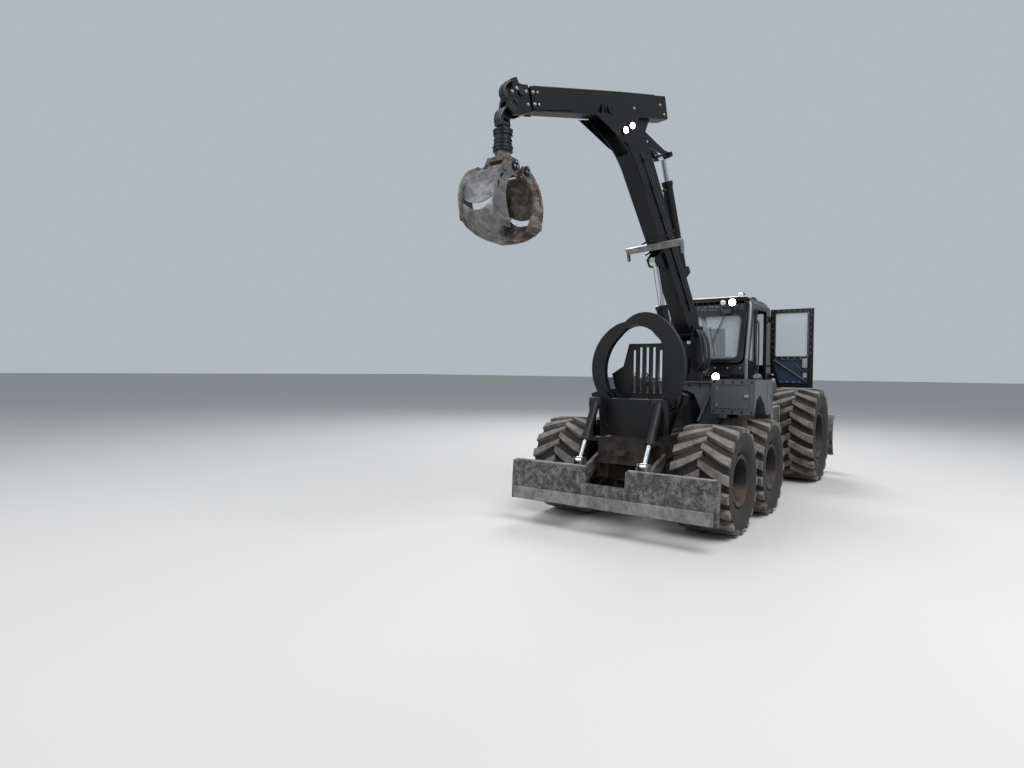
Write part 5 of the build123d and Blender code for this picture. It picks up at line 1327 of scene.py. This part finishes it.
# Side boxes: tread tops, grated steps and lids
shape = Build()
for hand in (-1, 1):
    low, high = sorted((hand * 0.72, hand * 0.855))
    shape.block((BOGIE + 2.62, low, 1.4803), (BOGIE + 3.22, high, 1.486))
    for z in (0.86, 1.12, 1.38):
        for k in range(6):
            x = BOGIE + 2.395 + 0.036 * k
            low, high = sorted((hand * 0.61, hand * 0.86))
            shape.block((x, low, z + 0.0003), (x + 0.012, high, z + 0.012))
settled(shape, "step_treads", "beige", "front_chassis", 0.001)
shape = Build()
for hand in (-1, 1):
    face = side_face(hand, 0.86)
    surround(shape, face, (2.64, 0.84, 3.19, 1.44, 0.04), (2.67, 0.87, 3.16, 1.41, 0.03), 0.0005, 0.007)
    rear = rear_face(BOGIE + 2.6, hand)
    shape.plate(rear, rounded(0.31, 1.395, 0.59, 1.475, 0.015), 0.0005, 0.012)
    shape.plate(rear, rounded(0.31, 0.80, 0.585, 1.38, 0.03), 0.0005, 0.006)
settled(shape, "side_box_lids", "beige", "front_chassis", 0.002)
shape = Build()
for hand in (-1, 1):
    face = side_face(hand, 0.868)
    shape.tube(
        bend(face.path((2.98, 1.12, 0), (2.98, 1.13, 0.03), (2.98, 1.25, 0.03), (2.98, 1.26, 0))), 0.008, 8
    )
    shape.tube([(BOGIE + 2.372, hand * 0.875, 0.80), (BOGIE + 2.372, hand * 0.875, 1.40)], 0.012, 10)
settled(shape, "side_box_handles", "trim", "front_chassis", smooth=True)

# Rear blade: wear edge, bolts, top bar and ribs
REAR_BLADE = rear_face(BOGIE - 1.84)
shape = Build()
shape.plate(REAR_BLADE, oblong(-1.34, 0.318, 1.34, 0.47), 0.0095, 0.022)
settled(shape, "rear_blade_edge", "edge", "rear_blade", 0.004)
data = [bolt_row(REAR_BLADE.at(-1.25, 0.42, 0.022), REAR_BLADE.at(1.25, 0.42, 0.022), 11, (-1, 0, 0), 0.9)]
joined("rear_blade_bolts", data, "edge", "rear_blade")
shape = Build()
for hand in (-1, 1):
    start, end = sorted((hand * 0.285, hand * 1.345))
    shape.tube([(BOGIE - 1.775, start, 0.812), (BOGIE - 1.775, end, 0.812)], 0.018, 12)
    for k in range(4):
        y = hand * (0.42 + 0.28 * k)
        shape.block((BOGIE - 1.793, y - 0.006, 0.36), (BOGIE - 1.755, y + 0.006, 0.74))
settled(shape, "rear_blade_bars", "edge", "rear_blade", 0.003)

# Front blade: cutting edge with bolts, top bar; nose: grille frame, head lamps, latch
BLADE_X = BOGIE + 5.56
shape = Build()
shape.loft(
    [
        [(BLADE_X + x, y, z) for x, z in ((0.136, 0.332), (0.150, 0.334), (0.074, 0.452), (0.060, 0.446))]
        for y in (-1.36, 1.36)
    ]
)
settled(shape, "front_blade_edge", "edge", "front_blade", 0.003)
data = [bolt_row((BLADE_X + 0.108, -1.26, 0.40), (BLADE_X + 0.108, 1.26, 0.40), 13, (0.84, 0, 0.54), 1.2)]
joined("front_blade_bolts", data, "black", "front_blade")
shape = Build()
shape.tube([(BLADE_X + 0.128, -1.36, 1.142), (BLADE_X + 0.128, 1.36, 1.142)], 0.020, 12)
settled(shape, "front_blade_bar", "edge", "front_blade", smooth=True)
NOSE_FACE = Plane(
    Vector((BOGIE + 5.09, 0, 0)),
    Vector((0, 1, 0)),
    Vector((-0.0687, 0, 0.9976)),
    Vector((0.9976, 0, 0.0687)),
)
shape = Build()
surround(
    shape, NOSE_FACE, (-0.37, 1.20, 0.37, 1.745, 0.04), (-0.345, 1.225, 0.345, 1.72, 0.03), 0.081, 0.092
)
for k in range(3):
    y = -0.18 + 0.18 * k
    shape.plate(NOSE_FACE, oblong(y - 0.006, 1.22, y + 0.006, 1.73), 0.081, 0.090)
settled(shape, "grille_frame", "trim", "hood", 0.002)
for hand in (-1, 1):
    label = "left" if hand > 0 else "right"
    lamp(f"head_lamp_{label}", (BOGIE + 5.105, hand * 0.415, 1.30), (1, 0, 0), 0.048, 0.05, "hood", False)
shape = Build()
for hand in (-1, 1):
    face = side_face(hand, 0.47)
    surround(shape, face, (4.29, 1.29, 4.90, 1.68, 0.03), (4.315, 1.315, 4.875, 1.655, 0.02), 0.0005, 0.008)
    surround(shape, face, (3.34, 1.25, 4.22, 1.70, 0.04), (3.365, 1.275, 4.195, 1.675, 0.03), 0.0005, 0.006)
    shape.tube(
        bend(face.path((4.05, 1.60, 0), (4.06, 1.60, 0.03), (4.16, 1.60, 0.03), (4.17, 1.60, 0))), 0.008, 8
    )
settled(shape, "hood_frames", "cab", "hood", 0.002)
shape = Build()
for k in range(5):
    x = BOGIE + 3.75 + 0.16 * k
    z = 1.985 - 0.0885 * (x - BOGIE - 3.29) + 0.0008
    shape.loft(
        [
            [(x, y, z), (x + 0.09, y, z - 0.008), (x + 0.09, y, z + 0.008), (x + 0.02, y, z + 0.018)]
            for y in (-0.16, 0.16)
        ]
    )
settled(shape, "hood_vents", "trim", "hood", 0.002)

# Exhaust: clamps and a ribbed heat shield
shape = Build()
for z in (2.02, 2.08, 2.55, 2.90):
    shape.turned((BOGIE + 3.33, 0.56, z), UP, [(0, 0.060), (0.025, 0.060)], 32)
settled(shape, "exhaust_clamps", "steel", "front_chassis", 0.001)
shape = Build()
for k in range(12):
    shape.turned(
        (BOGIE + 3.33, 0.56, 2.13 + 0.034 * k), UP, [(0, 0.057), (0.012, 0.0595), (0.024, 0.057)], 28
    )
settled(shape, "exhaust_shield", "exhaust", "front_chassis", smooth=True)

# Rear frame: bolt rows and hoses clipped along the frame
data = []
for hand in (-1, 1):
    data.append(
        bolt_row(
            (BOGIE + 0.10, hand * 0.3302, 1.05), (BOGIE + 1.70, hand * 0.3302, 1.05), 12, (0, hand, 0), 1.0
        )
    )
joined("frame_bolts", data, "black", "chassis")
runs = []
for k in range(3):
    y = 0.12 + 0.035 * k
    runs.append([(BOGIE - 0.35, y, 1.166), (BOGIE + 0.2, y, 1.166), (BOGIE + 0.50, y, 1.166)])
    runs.append([(BOGIE - 0.35, -y, 1.166), (BOGIE + 0.2, -y, 1.166), (BOGIE + 0.50, -y, 1.166)])
pipes("frame_pipes", runs, 0.0125, "hose", "chassis")

# Lit work lamps below the knuckle, and brown bushings at the ends of the grapple's crescents
for n, (u, v) in enumerate(((-0.20, -0.27), (-0.35, -0.21))):
    at = OUTER.at(u, v, 0.0) - ACROSS * 0.185
    lamp(f"knuckle_lamp_{n}", at, (-0.45, -0.85, -0.15), 0.045, 0.05, "outer_boom")
for end, body in ((1, "grapple_shell_outer"), (-1, "grapple_shell_inner")):
    pads = Build()
    for hand in (-1, 1):
        for u, v, lean in ((0.315, SHELL_AT[1] - 0.075, -42), (0.465, 3.76, -100)):
            edges = sorted((hand * (SHELL_HALF + 0.0005), hand * (SHELL_HALF + 0.010)))
            c, t = math.cos(math.radians(lean)), math.sin(math.radians(lean))
            ring = []
            for k in range(20):
                a = 2 * math.pi * k / 20
                x, y = 0.055 * math.cos(a), 0.030 * math.sin(a)
                ring.append((end * (u + c * x - t * y), v + t * x + c * y))
            pads.plate(GRIP, ring, *edges)
    settled(pads, body + "_pads", "rusty", body, 0.002)

# Softened edges on the CAD pieces
SOFT = {
    0.004: ("door_frame", "knuckle_rocker", "knuckle_link"),
    0.005: ("grapple_shell_outer", "grapple_shell_inner", "boom_crossbar"),
    0.006: (
        "outer_boom",
        "boom_extension",
        "crane_column",
        "rear_blade",
        "front_blade",
        "bunk_base",
        "grapple_crown",
        "rear_frame",
        "front_frame",
        "swing_link",
    ),
    0.007: ("bunk_arm_left", "bunk_arm_right"),
    0.008: ("main_boom",),
    0.010: ("rear_fenders", "side_boxes", "cab_shell", "hood", "bogie_beams"),
}
for width, names in SOFT.items():
    for node in names:
        soften(NODES[node], width)

# Floor, daylight and camera
bpy.ops.mesh.primitive_plane_add(size=400, location=(0, 0, 0))
floor = bpy.context.object
floor.name = "floor"
floor.data.materials.append(plain("floor_pale", (0.47, 0.46, 0.45), 0.9))
world = bpy.data.worlds.new("sky")
bpy.context.scene.world = world
world.use_nodes = True
background = world.node_tree.nodes["Background"]
background.inputs["Color"].default_value = (0.80, 0.87, 0.96, 1)
background.inputs["Strength"].default_value = 0.55
for name, place, aim, size, power in (
    ("key", (-5, -8, 15), (-0.5, 0, 1), 10, 3200),
    ("fill", (-14, 6, 9), (0, 0, 2.5), 10, 700),
    ("rim_light", (10, 6, 13), (0, 0, 3), 8, 1800),
):
    lamp_data = bpy.data.lights.new(name, "AREA")
    lamp_data.size = size
    lamp_data.energy = power
    lamp = bpy.data.objects.new(name, lamp_data)
    bpy.context.collection.objects.link(lamp)
    lamp.location = place
    lamp.rotation_euler = (Vector(aim) - Vector(place)).to_track_quat("-Z", "Y").to_euler()

camera_data = bpy.data.cameras.new("camera")
camera_data.sensor_width = 36
camera_data.lens = 36 * 620 / 1024
camera = bpy.data.objects.new("camera", camera_data)
bpy.context.collection.objects.link(camera)
CAMERA_AT = Vector((BOGIE - 8.57, -3.49, 2.0))
YAW, PITCH, ROLL = math.radians(35.97), math.radians(-1.23), math.radians(0.6)
looking = Vector((math.cos(YAW) * math.cos(PITCH), math.sin(YAW) * math.cos(PITCH), math.sin(PITCH)))
turn = looking.to_track_quat("-Z", "Y").to_matrix() @ Matrix.Rotation(ROLL, 3, "Z")
camera.matrix_world = Matrix.Translation(CAMERA_AT) @ turn.to_4x4()
scene = bpy.context.scene
scene.camera = camera
scene.render.resolution_x = 1024
scene.render.resolution_y = 768
scene.view_settings.view_transform = "Standard"
